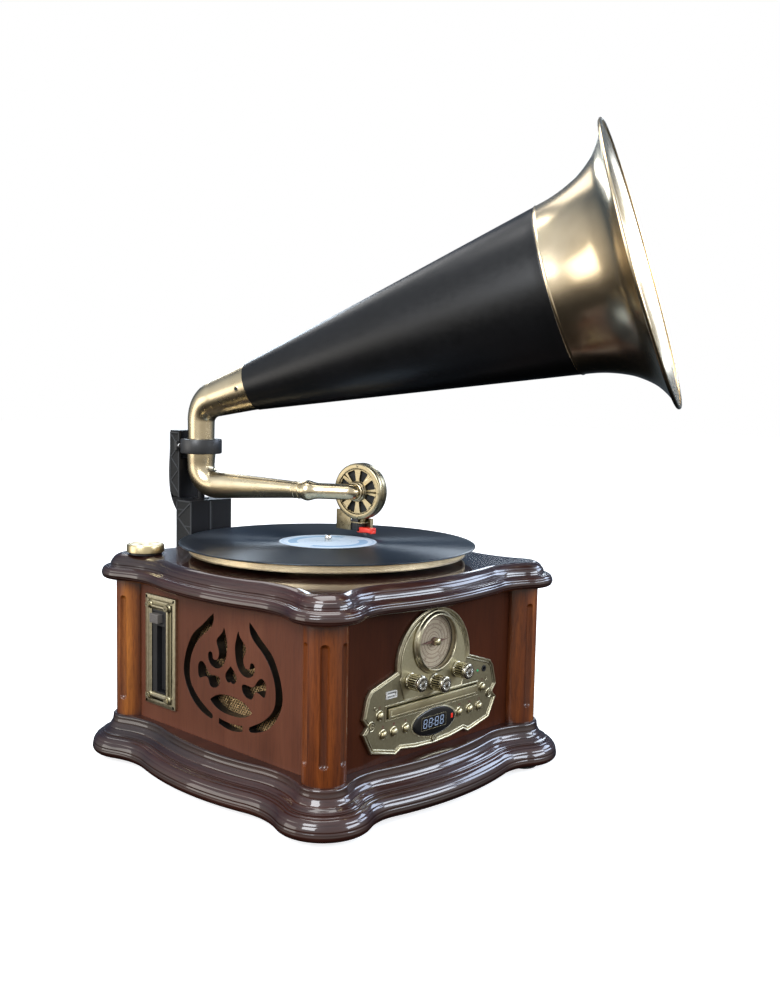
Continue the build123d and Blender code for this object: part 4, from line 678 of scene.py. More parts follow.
# display: an oval dark window with a brass rim, digits and a red lamp
g = G()
v, f = lathe([(1, 0), (1, 1.0), (0.985, 1.45), (0.95, 1.75), (0.85, 1.9), (0, 1.95)], (0, 0, 0), (0, -1, 0), 96)
g.add(([(1.0+p[0]*29.8, FP0+1.0+p[1], 71.0+p[2]*13.0) for p in v], f), 0)
g.add(boxm(-26.9, 28.9, -147.4, -139.0, 61.9, 80.1), 0)
display_ob = g.make("display_oval", [M["black_gloss"]], "cabinet", slot="black_gloss", replaces=["display_window"], sharp=30)
g = G()
el = [(1.0+29.9*cos(2*pi*i/96), 71.0+13.1*sin(2*pi*i/96)) for i in range(96)]
g.add(rim(el, [(-0.9, 2.55), (-0.8, 2.95), (-0.4, 3.3), (0.1, 3.3), (0.3, 3.0), (0.35, 2.6)], pf), 0)
g.make("display_rim", [M["antique_light"]], "cabinet", slot="antique_brass")
g = G(); YD = FP0+1.0-1.99
segs = {"a": (0, 1, 1, 1), "b": (1, .5, 1, 1), "c": (1, 0, 1, .5), "d": (0, 0, 1, 0), "e": (0, 0, 0, .5), "f": (0, .5, 0, 1), "g": (0, .5, 1, .5)}
for i, cx in enumerate((-12.6, -5.2, 3.4, 10.8)):
    for s, (x0, z0, x1, z1) in segs.items():
        w, h = 4.2, 7.8; ax, az, bx, bz = cx+(x0-.5)*w, 71+(z0-.5)*h, cx+(x1-.5)*w, 71+(z1-.5)*h
        t = 0.32; sk = 0.10
        if az == bz: P = [(ax+.5, az-t), (bx-.5, az-t), (bx-.15, az), (bx-.5, az+t), (ax+.5, az+t), (ax+.15, az)]
        else: P = [(ax-t, az+.5), (ax, az+.15), (ax+t, az+.5), (bx+t, bz-.5), (bx, bz-.15), (bx-t, bz-.5)]
        P = [(p+(q-71)*sk, q) for p, q in P]
        g.add(([(p, YD, q) for p, q in P], [tuple(range(6))]), 0)
for dz in (-2.0, 2.0): g.add(([(-0.9+0.5*cos(2*pi*i/12), YD, 71+dz+0.5*sin(2*pi*i/12)) for i in range(12)], [tuple(range(12))]), 0)
g.make("display_digits", [M["digit"]], "cabinet", slot="black_gloss", sharp=180, fixn=False)
g = G()
g.add(rim(rect(-18.2, 17.2, 64.6, 77.4), [(0, 3.5), (0.15, 3.72), (0.5, 3.72), (0.65, 3.5)], lambda u, w, h: (u, FP1-h-0.85, w)), 0)
g.make("display_bezel", [M["antique"]], "cabinet", slot="antique_brass")
g = G(); g.add(boxm(24.0, 26.6, YD-0.2, YD+0.3, 69.6, 74.0, 0.2), 0); g.make("display_lamp", [M["led_red"]], "cabinet", slot="black_gloss")
g = G(); g.add(lathe([(1.1, 0), (1.1, 0.5), (0.8, 0.85), (0, 1.0)], (64.8, FP1-2.5, 108.2), (0, -1, 0), 20), 0); g.make("ready_lamp", [M["led_green"]], "cabinet", slot="black_gloss")

# ---------------------------------------------------------------------------- cassette deck
PX = -140.7
px = lambda u, w, h: (PX-h, u, w)
bz_out = [(112.3, 62.8), (61.9, 62.8), (61.9, 173.8), (112.3, 173.8)]
def rrect(y0, y1, z0, z1, r, n=6):
    p = []
    for cy, cz, a in ((y0+r, z0+r, 270), (y0+r, z1-r, 180), (y1-r, z1-r, 90), (y1-r, z0+r, 0)):
        p += [(cy+r*cos(radians(a-90*i/n)), cz+r*sin(radians(a-90*i/n))) for i in range(n+1)]
    return p[::1]
bo = rrect(61.9, 112.3, 62.8, 173.8, 1.2)
def area(p): return sum(p[i-1][0]*p[i][1]-p[i][0]*p[i-1][1] for i in range(len(p)))/2
if area(bo) < 0: bo.reverse()
g = G()
g.add(rim(bo, [(0, 0), (0, 2.6), (0.4, 3.2), (1.0, 3.4), (4.2, 3.4), (4.7, 3.1), (5.2, 2.5), (6.4, 2.4), (6.9, 2.6)], px), 0)
ring_p = inset(bo, 6.9); hole = rect(77.2, 102.2, 75.4, 159.4)
g.add(plate(ring_p, [hole], 2.6, 7.0, px), 1)
inner = rrect(72.6, 105.8, 70.4, 164.2, 0.8)
if area(inner) < 0: inner.reverse()
g.add(rim(inner, [(0, 2.5), (0, 3.9), (0.4, 4.5), (1.0, 4.7), (2.0, 4.7), (2.6, 4.3), (3.2, 3.4), (4.4, 2.9)], px), 0)
for y, z in [(73.6, 71.4), (104.6, 71.4), (73.6, 163.2), (104.6, 163.2)]:
    g.add(lathe([(4.6, 2.5), (4.6, 3.2), (4.0, 3.9), (3.2, 4.4), (0.0, 4.9)], (PX, y, z), (-1, 0, 0), 28), 1)
g.make("cassette_frame", [M["antique_light"], M["antique"]], "cabinet", slot="antique_brass", replaces=["cassette_bezel"], sharp=30)
g = G()
g.add(boxm(PX-7.4, -122.0, 85.4, 99.2, 146.4, 155.8, 0.9), 0)
for i in range(5): g.add(boxm(PX-7.75, PX-7.0, 87.0, 97.6, 148.0+i*1.5, 148.6+i*1.5, 0.2), 0)
g.make("eject_key_ribbed", [M["grey"]], "key", slot="grey_plastic", replaces=["eject_key"])

# ---------------------------------------------------------------------------- grille mesh behind the fretwork
def grille(sx, name):
    g = G(); Y0, Y1, Z0, Z1 = -21.3-76, -21.3+76, 60.5, 172.5
    pw, ph, t, d = 3.5, 2.3, 0.34, 0.42
    g_v, g_f = [], []
    X0, X1 = sx*130.55, sx*131.45
    nz = int((Z1-Z0)/ph); ny = int((Y1-Y0)/pw)
    for k in range(nz+1):
        for i in range(ny+1):
            cy, cz = Y0+i*pw+(pw/2 if k % 2 else 0), Z0+k*ph
            if cy > Y1-pw/2 or cz > Z1-ph: continue
            if hypot((cy+21.3)/76, (cz-116)/58) > 1.02: continue
            for ay, az in ((pw/2, ph), (-pw/2, ph)):
                if not (Y0 < cy+ay < Y1): continue
                L = hypot(ay, az); nx, nz_ = -az/L*t, ay/L*t
                k0 = len(g_v)
                g_v += [(X0, cy-nx, cz-nz_), (X0, cy+nx, cz+nz_), (X0, cy+ay+nx, cz+az+nz_), (X0, cy+ay-nx, cz+az-nz_),
                        (X1, cy-nx, cz-nz_), (X1, cy+nx, cz+nz_), (X1, cy+ay+nx, cz+az+nz_), (X1, cy+ay-nx, cz+az-nz_)]
                g_f += [tuple(k0+q for q in fc) for fc in ((0, 1, 2, 3), (7, 6, 5, 4), (0, 4, 5, 1), (2, 6, 7, 3), (1, 5, 6, 2), (3, 7, 4, 0))]
    g.add((g_v, g_f), 0)
    fr = [(Y0, Z0), (Y1, Z0), (Y1, Z1), (Y0, Z1)]
    g.add(rim(fr, [(0, 0), (0, 0.9), (3.0, 0.9), (3.0, 0), (0, 0)], lambda u, w, h: (sx*(130.55+h), u, w)), 0)
    return g.make(name, [M["mesh"]], "cabinet", slot="brass_mesh", sharp=30)
gl = grille(-1, "grille_left"); gr = grille(1, "grille_right"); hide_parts("speaker_meshes")

# ---------------------------------------------------------------------------- turntable
TT = (4.0, 4.0, 0.0); UPZ = (0, 0, 1)
prof = [(3.7, 213.4), (12.0, 213.4), (12.0, 219.8), (53.4, 219.8), (53.4, 212.6), (56.0, 212.6), (56.0, 219.8), (137.6, 219.8), (137.6, 214.9), (138.0, 214.5), (139.6, 214.4), (140.2, 214.6), (140.5, 215.1),
        (140.2, 215.5), (139.9, 215.8), (139.9, 220.6), (140.2, 220.9), (140.6, 221.3), (140.5, 221.8), (140.0, 222.0), (136.6, 222.1), (136.1, 222.3), (136.0, 223.0), (3.7, 223.0), (3.7, 213.4)]
g = G(); g.add(lathe(prof, TT, UPZ, 300), 0)
nd = 330
for row in range(3):
    for i in range(nd):
        t = 2*pi*(i+0.5*(row % 2))/nd; c, s = cos(t), sin(t); z = 216.7+1.5*row; R = 139.75
        P = lambda rr, a, h: (4+R*c+h*c-a*s, 4+R*s+h*s+a*c, z+rr)
        k = 0.62
        ring = [(k*cos(2*pi*j/6), k*sin(2*pi*j/6)) for j in range(6)]
        g.add(([P(b_, a_, 0.1) for a_, b_ in ring]+[P(b_*0.6, a_*0.6, 0.5) for a_, b_ in ring]+[P(0, 0, 0.62)],
               [(j, (j+1) % 6, 6+(j+1) % 6, 6+j) for j in range(6)]+[(6+j, 6+(j+1) % 6, 12) for j in range(6)]), 0)
g.make("platter_dotted", [M["platter"]], "turntable", slot="gold_platter", replaces=["platter"], sharp=30, fixn=True)
prof = [(3.75, 223.02), (149.6, 223.02), (150.4, 223.2), (150.8, 223.7), (150.6, 224.3), (150.0, 224.62), (149.0, 224.68), (147.6, 224.6), (147.0, 224.42), (146.2, 224.40)]
prof += [(63.0, 224.40), (62.5, 224.35), (54.0, 224.35), (51.4, 224.45), (50.6, 224.66), (50.3, 224.70), (18.5, 224.70), (18.1, 224.62), (17.3, 224.62), (16.9, 224.70), (3.75, 224.70), (3.75, 223.02)]
lt = lathe(prof, TT, UPZ, 288); mesh("record_grooved", lt[0], lt[1], M["vinyl"], "turntable", "black_gloss", ["record"], 30)
lt = lathe([(3.85, 224.705), (16.9, 224.71), (17.3, 224.66), (18.1, 224.66), (18.5, 224.71), (49.6, 224.71), (49.9, 224.70), (49.9, 224.6), (3.85, 224.6), (3.85, 224.705)], TT, UPZ, 160)
mesh("record_label", lt[0], lt[1], M["label"], "turntable", "black_gloss")
g = G()
for r0, r1 in ((46.8, 47.5), (45.6, 45.85), (24.0, 24.3), (12.0, 12.3)): g.add(lathe([(r0, 224.715), (r1, 224.715), (r1, 224.70), (r0, 224.70), (r0, 224.715)], TT, UPZ, 160), 0)
for a0, a1 in ((200, 340), (20, 160)):          # two plain printed bands
    v, f = [], []
    for i in range(61):
        t = radians(a0+(a1-a0)*i/60)
        for r in (32.0, 41.0): v.append((4+r*cos(t), 4+r*sin(t), 224.716))
    g.add((v, [(2*i, 2*i+1, 2*i+3, 2*i+2) for i in range(60)]), 0)
g.make("record_label_print", [M["label_ink"]], "turntable", slot="black_gloss", sharp=180, fixn=False)
lt = lathe([(0, 176.0), (4.0, 176.0), (4.0, 213.4), (3.65, 213.5), (3.6, 229.0), (3.45, 230.2), (2.9, 231.0), (1.9, 231.45), (0, 231.6)], TT, UPZ, 48)
mesh("spindle_rounded", lt[0], lt[1], M["chrome"], "turntable", "chrome", ["spindle"], 30)
# adapter for large-hole singles
AD = (-133.4, 127.2, 0)
g = G()
g.add(lathe([(3.7, 210.2), (16.2, 210.2), (16.4, 210.5), (16.4, 212.6), (16.2, 212.8), (3.7, 212.8), (3.7, 210.2)], AD, UPZ, 80), 1)
pr = [(3.7, 212.7), (18.2, 212.7), (18.6, 213.1), (18.6, 219.2), (18.3, 220.0), (17.5, 220.5), (16.6, 220.6), (16.2, 220.3), (15.7, 220.2)]
for r0 in (14.6, 7.0): pr += [(r0+0.9, 220.2), (r0+0.6, 220.4), (r0-0.2, 220.4), (r0-0.5, 220.2)]
pr += [(5.2, 220.2), (4.6, 220.6), (0, 220.6)]
g.add(lathe(pr, AD, UPZ, 96), 0)
g.make("adapter_turned", [M["puck"], M["black_plastic"]], "adapter", slot="gold_platter", replaces=["single_adapter"], sharp=26)

# ---------------------------------------------------------------------------- tone arm and pick-up
POST = Vector((-27.4, 177.0, 0)); ARM_Z = 272.6
A = Vector((cos(radians(-70)), sin(radians(-70)), 0)); P0 = POST + Vector((0, 0, ARM_Z)); RB = 21.0
C0 = P0 + A*RB + Vector((0, 0, RB))
path = [POST+Vector((0, 0, z)) for z in (313.6, 309.0, 305.6, 301.0, 297.0)]; rad = [15.7, 15.7, 15.7, 15.36, 15.05]
for i in range(21):
    t = radians(90*i/20); path.append(C0 - A*(RB*cos(t)) - Vector((0, 0, RB*sin(t)))); rad.append(14.8)
for i in range(1, 41): path.append(P0 + A*(RB+101.0*i/40)); rad.append(14.8-6.1*i/40)
g = G(); g.add(tube(path, rad, 72), 0)
for s, r in ((0.0, 8.95), (118.2-RB-0.0, 9.15)):
    o = P0+A*(RB+s) if s else P0+A*(RB+100.2)
    g.add(lathe([(r-0.35, -1.6), (r, -1.2), (r+0.05, 0), (r, 1.2), (r-0.35, 1.5)], o, A, 72), 0)
for z in (307.0,): g.add(lathe([(15.7, z-1.0), (16.0, z-0.6), (16.0, z+0.6), (15.7, z+1.0)], POST, UPZ, 72), 0)
g.make("tone_arm_tube", [M["polished"]], "arm", slot="polished_brass", replaces=["tone_arm"], sharp=34)
def tangent(x): return sin(x)/cos(x)
def fillet_path(P, R, n=12):
    P = [Vector(p) for p in P]; out = [P[0]]
    for i in range(1, len(P)-1):
        a = (P[i-1]-P[i]).normalized(); b = (P[i+1]-P[i]).normalized()
        th = a.angle(b); T = R[i-1]/tangent(th/2); c = P[i] + (a+b).normalized()*(R[i-1]/sin(th/2))
        s0, s1 = P[i]+a*T, P[i]+b*T
        va, vb = s0-c, s1-c; w = va.angle(vb)
        for k in range(n+1):
            q = k/n; out.append(c + (va*sin((1-q)*w) + vb*sin(q*w))/sin(w))
    out.append(P[-1]); return out
KN = P0 + A*132.0; AX = Vector((cos(radians(10)), sin(radians(10)), 0)); SB = Vector((59.6, 14.0, ARM_Z))
HE = SB - AX*7.6; Q1 = HE - AX*9.0
gp = fillet_path([P0+A*122.6, KN, Q1, HE], [10.5, 6.0], 16)
gl_ = [0.0]
for p, q in zip(gp, gp[1:]): gl_.append(gl_[-1]+(q-p).length)
dense = []
for k in range(len(gp)-1):
    n_ = max(1, int((gl_[k+1]-gl_[k])/1.2)); dense += [gp[k].lerp(gp[k+1], m_/n_) for m_ in range(n_)]
dense.append(gp[-1]); dl = [0.0]
for p, q in zip(dense, dense[1:]): dl.append(dl[-1]+(q-p).length)
g = G(); g.add(tube(dense, [8.4+2.5*exp(-((t_-11.0)/6.5)**2) for t_ in dl], 64), 0)
g.add(lathe([(8.5, -0.3), (9.3, 0.1), (9.4, 1.0), (9.3, 1.9), (8.5, 2.3)], P0+A*122.7, A, 64), 0)
g.add(lathe([(8.5, -4.6), (9.4, -4.3), (9.7, -3.6), (9.7, -1.6), (10.4, -1.0), (10.6, 0.2), (9.8, 0.7), (8.5, 0.8)], HE, AX, 64), 0)
g.make("gooseneck_tube", [M["polished"]], "pickup_head", slot="polished_brass", replaces=["gooseneck"], sharp=34)
XD = Vector((-AX.y, AX.x, 0))
fc = lambda u, w, h: tuple(SB - AX*(6.8+h) + XD*u + Vector((0, 0, w)))
slots = []
for i in range(8):
    a = radians(22.5+45*i); base_pts = [(-2.7, 11.6), (-2.0, 11.1), (2.0, 11.1), (2.7, 11.6), (5.0, 21.6), (4.2, 22.8), (-4.2, 22.8), (-5.0, 21.6)]
    slots.append([(p[0]*cos(a)-p[1]*sin(a), p[0]*sin(a)+p[1]*cos(a)) for p in base_pts])
    if area(slots[-1]) < 0: slots[-1].reverse()
g = G()
v, f = plate([(23.8*cos(2*pi*i/96), 23.8*sin(2*pi*i/96)) for i in range(96)], slots, -0.9, 3.4, fc); g.add((v, f), 0)
g.add(lathe([(23.8, -5.9), (24.3, -6.3), (24.7, -6.75), (25.6, -6.8), (28.4, -6.8), (29.3, -6.45), (29.85, -5.8), (30.0, -5.0), (30.0, -2.4), (29.4, -1.9), (29.4, -0.9), (30.0, -0.4), (30.0, 5.2), (29.7, 6.1), (29.0, 6.7), (27.8, 6.8), (12.0, 6.8), (11.4, 6.2), (0, 6.2)], SB, AX, 128), 0)
g.add(lathe([(11.0, -5.9), (10.6, -6.3), (10.2, -7.2), (9.0, -7.5), (8.6, -7.5)], SB, AX, 64), 0)
g.add(lathe([(24.2, -2.6), (20.0, -2.9), (12.0, -2.3), (0, -2.3)], SB, AX, 64), 1)
for i in range(8):
    a = radians(45*i); c = SB + XD*(27.0*cos(a)) + Vector((0, 0, 27.0*sin(a)))
    if i % 2 == 0: g.add(lathe([(1.3, -6.75), (1.25, -7.05), (0.9, -7.2), (0, -7.25)], c, AX, 20), 0)
g.make("sound_box_slotted", [M["sound"], M["black_matt"]], "pickup_head", slot="polished_brass", replaces=["sound_box"], sharp=30)
g = G()
g.add(boxm(52.6, 66.6, 5.0, 36.0, 238.8, 240.0, 0.35), 0); g.add(boxm(52.4, 53.6, 21.0, 43.0, 230.8, 252.0, 0.4), 0); g.add(boxm(65.5, 66.6, 2.0, 20.0, 232.6, 243.6, 0.35), 0)
g.add(boxm(56.2, 63.0, 9.0, 19.0, 239.8, 244.4, 0.4), 0)
g.add(lathe([(0, 233.0), (1.5, 233.0), (1.7, 233.3), (1.7, 243.9)], (62.6, -0.6, 0), UPZ, 24), 0)
g.add(lathe([(0, 241.2), (1.5, 241.1), (1.9, 240.7), (1.9, 239.9)], (59.6, 30.0, 0), UPZ, 28), 0)
g.make("headshell_plate", [M["sound"]], "pickup_head", slot="polished_brass", replaces=["headshell"], sharp=30)
g = G()
g.add(boxm(54.0, 65.2, 10.5, 27.0, 231.4, 238.8, 0.7), 0); g.add(boxm(54.6, 64.6, 12.0, 25.0, 230.6, 231.6, 0.3), 0); g.add(boxm(52.9, 54.4, 11.0, 20.0, 231.0, 244.0, 0.3), 0)
g.make("cartridge_body", [M["black_plastic"]], "pickup_head", slot="black_plastic", replaces=["cartridge"], sharp=30)
g = G()
g.add(boxm(54.8, 64.4, -6.0, 11.0, 229.6, 234.8, 1.3), 0); g.add(boxm(56.4, 62.8, -7.0, -3.0, 228.7, 231.2, 0.8), 0); g.add(boxm(56.0, 63.2, 6.0, 15.0, 228.8, 230.4, 0.5), 0)
g.add(tube([(59.6, 10.0, 228.9), (59.2, 6.5, 227.9), (58.7, 3.6, 226.3)], [0.55, 0.5, 0.42], 12), 1)
g.add(lathe([(0, 225.05), (0.25, 225.5), (0.45, 226.5)], (58.7, 3.5, 0), UPZ, 12), 1)
g.make("stylus_guard", [M["red"], M["steel"]], "pickup_head", slot="red_plastic", replaces=["stylus"], sharp=30)
lt = lathe([(15.78, 306.6), (21.6, 306.6), (22.3, 307.0), (22.7, 307.9), (22.7, 321.1), (22.3, 322.0), (21.6, 322.4), (15.4, 322.4), (14.6, 321.8), (14.5, 314.2), (15.78, 314.0), (15.78, 306.6)], POST, UPZ, 96)
g = G(); g.add(lt, 0)
g.add(boxm(-14.0+0.0, -6.6, 194.2, 199.4, 309.0, 320.0, 0.8), 0)
g.add(boxm(-48.2, -40.8, 194.2, 199.4, 309.0, 320.0, 0.8), 0)
for x in (-10.2, -44.6): g.add(lathe([(0, -2.4), (2.3, -2.4), (2.6, -2.0), (2.6, 0)], (x, 194.4, 314.5), (0, 1, 0), 28), 1)
g.make("clamp_ring_moulded", [M["clamp"], M["steel"]], "cabinet", slot="black_plastic", replaces=["clamp_ring"], sharp=30)

# the bracket's ribbed side: ribs in a lighter plastic for painted highlight, over thin black matt sheets for painted
# shade in the pockets
g = G()
def strip(p, q, x, w_, h_):
    d = hypot(q[0]-p[0], q[1]-p[1]); ny, nz_ = -(q[1]-p[1])/d*w_/2, (q[0]-p[0])/d*w_/2
    a = [(p[0]+ny, p[1]+nz_), (q[0]+ny, q[1]+nz_), (q[0]-ny, q[1]-nz_), (p[0]-ny, p[1]-nz_)]
    g.add(([(x, y, z) for y, z in a]+[(x-h_, y, z) for y, z in a], [(0, 1, 2, 3), (7, 6, 5, 4), (0, 4, 5, 1), (1, 5, 6, 2), (2, 6, 7, 3), (3, 7, 4, 0)]), 0)
# field lays a thin black matt sheet over the pockets between the ribs: painted shade
def field(pts, x):
    n = len(pts); g.add(([(x, y, z) for y, z in pts]+[(x-0.25, y, z) for y, z in pts], [tuple(range(n)), tuple(range(2*n-1, n-1, -1))]+[(i, n+i, n+(i+1) % n, (i+1) % n) for i in range(n)]), 1)
field([(195.6, 258.0), (195.6, 326.0), (210.6, 326.0), (211.8, 290.0), (210.6, 262.0), (206.0, 258.0)], -43.35)
for i in range(5):
    z = 262+13*i; a, b = ((196.2, z), (210.4, z+13)) if i % 2 == 0 else ((210.4, z), (196.2, z+13)); strip(a, b, -43.3, 1.3, 1.0)
strip((195.8, 257), (195.8, 329), -43.3, 1.5, 1.0); strip((211.0, 262), (211.0, 329), -43.3, 1.5, 1.0); strip((195.8, 328.6), (211.2, 328.6), -43.3, 1.5, 1.0)
field([(158.6, 201.6), (158.6, 254.6), (183.4, 254.6), (183.4, 201.6)], -53.95)
zz = [202.0, 219.5, 237.0, 254.0]
for i in range(3):
    a, b = ((159.6, zz[i]), (182.6, zz[i+1])) if i % 2 else ((182.6, zz[i]), (159.6, zz[i+1])); strip(a, b, -53.9, 1.6, 1.0)
for i in range(3): strip((171.0, zz[i]+8.6), (159.6 if i % 2 else 182.6, zz[i]+8.6 if i % 2 == 0 else zz[i]+8.6), -53.9, 1.2, 0.8)
strip((158.6, 200.6), (158.6, 255.6), -53.9, 1.8, 1.0); strip((183.8, 200.6), (183.8, 255.6), -53.9, 1.8, 1.0); strip((158.0, 255.2), (184.4, 255.2), -53.9, 1.8, 1.0)
# two moulded grooves down the front of the head box, drawn as a lighter rib-plastic strip for painted highlight and a
# black matt strip for painted shade
g.add(boxm(-30.4, -28.6, 156.2, 157.3, 202.0, 255.0, 0.3), 0); g.add(boxm(-27.8, -26.9, 156.5, 157.3, 202.0, 255.0, 0.2), 1)
g.make("bracket_ribs", [M["rib"], M["black_matt"]], "cabinet", slot="black_plastic", sharp=30)

# ---------------------------------------------------------------------------- horn
he, hd = radians(16.9), radians(-64.1)
H = Vector((cos(hd)*cos(he), sin(hd)*cos(he), sin(he))); O = POST + Vector((0, 0, 362.0)); SN = Vector((-sin(hd), cos(hd), 0))
np_ = fillet_path([POST+Vector((0, 0, 314.6)), POST+Vector((0, 0, 361.0)), O+H*65.0], [27.0], 20)
full = [np_[0]] + [POST+Vector((0, 0, z)) for z in (319, 324, 329, 334)] + np_[1:-1] + [np_[-2].lerp(np_[-1], i/16) for i in range(1, 17)]
ln = [0.0]
for p, q in zip(full, full[1:]): ln.append(ln[-1]+(q-p).length)
total = ln[-1]; s_arc0 = ln[5]; s_arc1 = ln[5+20]
def nr(s):
    if s < s_arc0: return 14.4+0.4*s/s_arc0
    if s < s_arc1:
        q = (s-s_arc0)/(s_arc1-s_arc0); return 14.8+(19.6-14.8)*q*q*(3-2*q)
    return 19.6+(25.3-19.6)*(s-s_arc1)/(total-s_arc1)
v, f = tube(full, [nr(s) for s in ln], 96, caps=False)
g = G(); g.add((v, f), 0)
g.add(lathe([(25.3, 65.0), (25.35, 65.6), (24.9, 65.9), (24.0, 65.9), (23.4, 65.0), (19.2, 30.0), (17.6, 21.5)], O, H, 96), 0)
hc = O + H*55.6 - SN*24.15
# a small ring, with a black matt disc inside it for the hole's dark interior: painted shade
g.add(lathe([(3.0, -0.4), (3.0, 0.05), (2.6, 0.3), (2.1, 0.34), (1.95, 0.2)], hc, -SN, 28), 0); g.add(lathe([(2.0, 0.22), (1.0, 0.24), (0, 0.24)], hc, -SN, 28), 1)
g.make("horn_neck_bent", [M["polished"], M["black_matt"]], "horn", slot="polished_brass", replaces=["horn_neck"], sharp=34)
cone = [(24.8, 66.8), (25.2, 65.4), (25.9, 65.3), (26.2, 65.9), (26.35, 67.4)] + [(26.35+(84.6-26.35)*i/40, 67.4+(406.6-67.4)*i/40) for i in range(1, 41)] + [(84.85, 407.4), (84.7, 408.0), (83.5, 408.0), (83.2, 407.0), (24.8, 66.8)]
lt = lathe(cone, O, H, 192); mesh("horn_cone_turned", lt[0], lt[1], M["black_paint"], "horn", "black_paint", ["horn_cone"], 34)
def catmull(P, n=8):
    out = []
    for i in range(len(P)-1):
        p0 = P[max(i-1, 0)]; p1, p2 = P[i], P[i+1]; p3 = P[min(i+2, len(P)-1)]
        for k in range(n):
            t = k/n; out.append(tuple(0.5*(2*b+(c-a)*t+(2*a-5*b+4*c-d)*t*t+(3*b-3*c+d-a)*t**3) for a, b, c, d in zip(p0, p1, p2, p3)))
    out.append(P[-1]); return out
bo_ = catmull([(84.9, 408.2), (88.2, 425.0), (92.9, 440.0), (99.6, 455.0), (107.0, 466.0), (115.6, 475.4), (125.0, 482.0), (134.0, 486.4), (139.6, 488.3)])
rimp = [(141.0+2.0*cos(radians(a)), 489.6+2.0*sin(radians(a))) for a in range(-140, 141, 20)]
bi_ = catmull([(139.5, 489.7), (133.4, 487.7), (124.2, 483.3), (114.7, 476.6), (106.0, 467.1), (98.5, 455.8), (91.7, 440.7), (87.0, 425.4), (83.3, 408.3)])
lt = lathe([(83.3, 408.3)]+bo_+rimp+bi_, O, H, 240); g = G(); g.add(lt, 0)
g.add(lathe([(84.85, 408.3), (85.6, 408.5), (85.9, 409.3), (85.8, 410.4), (85.35, 411.2)], O, H, 240), 0)
g.make("horn_bell_spun", [M["bell"]], "horn", slot="polished_brass", replaces=["horn_bell"], sharp=40)

# ---------------------------------------------------------------------------- carried-over nodes
FIN = {"left_panel": "fret", "right_panel": "fret", "front_panel": "panel", "rear_panel": "panel", "bottom_board": "board", "feet": "rubber", "drive_belt": "rubber",
       "screws": "antique_light", "usb_socket": "white_pl", "headphone_socket": "black_plastic", "cd_mechanism": "black_plastic", "cd_tray": "black_plastic", "cassette_mechanism": "black_plastic",
       "power_inlet": "black_plastic", "audio_sockets": "black_plastic", "horn_bracket": "bracket", "cassette_flap": "black_plastic", "loudspeakers": "cone_paper",
       "circuit_boards": "green", "transformer": "steel", "motor": "steel", "spindle_bearing": "steel", "motor_pulley": "chrome"}
for node, key in FIN.items():
    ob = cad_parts[node]
    ob.data.materials.clear(); ob.data.materials.append(M[key])
for x, c in ((-75, "red"), (-61, "white_pl")):
    lt = lathe([(4.2, 145.0+1.5), (5.0, 146.5), (5.1, 146.9), (5.1, 148.6), (4.9, 148.9), (4.2, 148.9), (4.2, 146.5)], (x, 0, 68), (0, 1, 0), 40)
    mesh("socket_ring_%d" % (-x), lt[0], lt[1], M[c], "cabinet", "black_plastic")
    lt = lathe([(1.8, 154.2), (3.4, 154.3), (3.95, 154.2), (4.16, 153.8), (4.17, 149.0), (4.3, 148.9)], (x, 0, 68), (0, 1, 0), 40)
    mesh("socket_shell_%d" % (-x), lt[0], lt[1], M["chrome"], "cabinet", "chrome")

# ---------------------------------------------------------------------------- stage, light and camera
def flat_mat(name, c, r=0.6, glow=0.0):
    w = Mat(name, Roughness=r); w.b.inputs["Specular IOR Level"].default_value = 0.0
    w.b.inputs["Emission Color"].default_value = (1, 1, 1, 1); w.b.inputs["Emission Strength"].default_value = glow; n1 = w.noise(w.coords(), 3, 2); w.color(w.ramp(n1, [(0.3, c), (0.7, tuple(x*1.01 for x in c))])); return w.m
fm = bpy.data.meshes.new("floor"); fm.from_pydata([(-9, -9, 0), (9, -9, 0), (9, 9, 0), (-9, 9, 0)], [], [(0, 1, 2, 3)])
fl = bpy.data.objects.new("floor", fm); bpy.context.scene.collection.objects.link(fl); fm.materials.append(flat_mat("pale_floor", (0.72, 0.72, 0.725), 0.7, 0.74))
fl.visible_glossy = False; fl.visible_diffuse = False
w = bpy.context.scene.world or bpy.data.worlds.new("studio"); bpy.context.scene.world = w; w.use_nodes = True; nt = w.node_tree; nt.nodes.clear()
tc = nt.nodes.new("ShaderNodeTexCoord"); sp = nt.nodes.new("ShaderNodeSeparateXYZ"); rp = nt.nodes.new("ShaderNodeValToRGB"); mr = nt.nodes.new("ShaderNodeMapRange")
bg = nt.nodes.new("ShaderNodeBackground"); bg2 = nt.nodes.new("ShaderNodeBackground"); mx = nt.nodes.new("ShaderNodeMixShader"); lp = nt.nodes.new("ShaderNodeLightPath"); out = nt.nodes.new("ShaderNodeOutputWorld")
nt.links.new(tc.outputs["Generated"], sp.inputs[0]); nt.links.new(sp.outputs["Z"], mr.inputs["Value"]); mr.inputs["From Min"].default_value = -1.0; mr.inputs["From Max"].default_value = 1.0
nt.links.new(mr.outputs["Result"], rp.inputs["Fac"]); e = rp.color_ramp.elements
e[0].position = 0.22; e[0].color = (0.022, 0.020, 0.018, 1); e[1].position = 0.95; e[1].color = (0.86, 0.92, 1.0, 1)
for q_, c_ in ((0.32, (0.06, 0.052, 0.045, 1)), (0.40, (0.50, 0.47, 0.42, 1)), (0.48, (0.86, 0.84, 0.80, 1)), (0.70, (0.84, 0.88, 0.94, 1))): el = e.new(q_); el.color = c_
dt = nt.nodes.new("ShaderNodeVectorMath"); dt.operation = "DOT_PRODUCT"; dt.inputs[1].default_value = (0.74, 0.67, 0.0); nt.links.new(tc.outputs["Generated"], dt.inputs[0])
side = nt.nodes.new("ShaderNodeMapRange"); nt.links.new(dt.outputs["Value"], side.inputs["Value"])
side.inputs["From Min"].default_value = -0.05; side.inputs["From Max"].default_value = 0.62; side.inputs["To Min"].default_value = 0.0; side.inputs["To Max"].default_value = 1.0
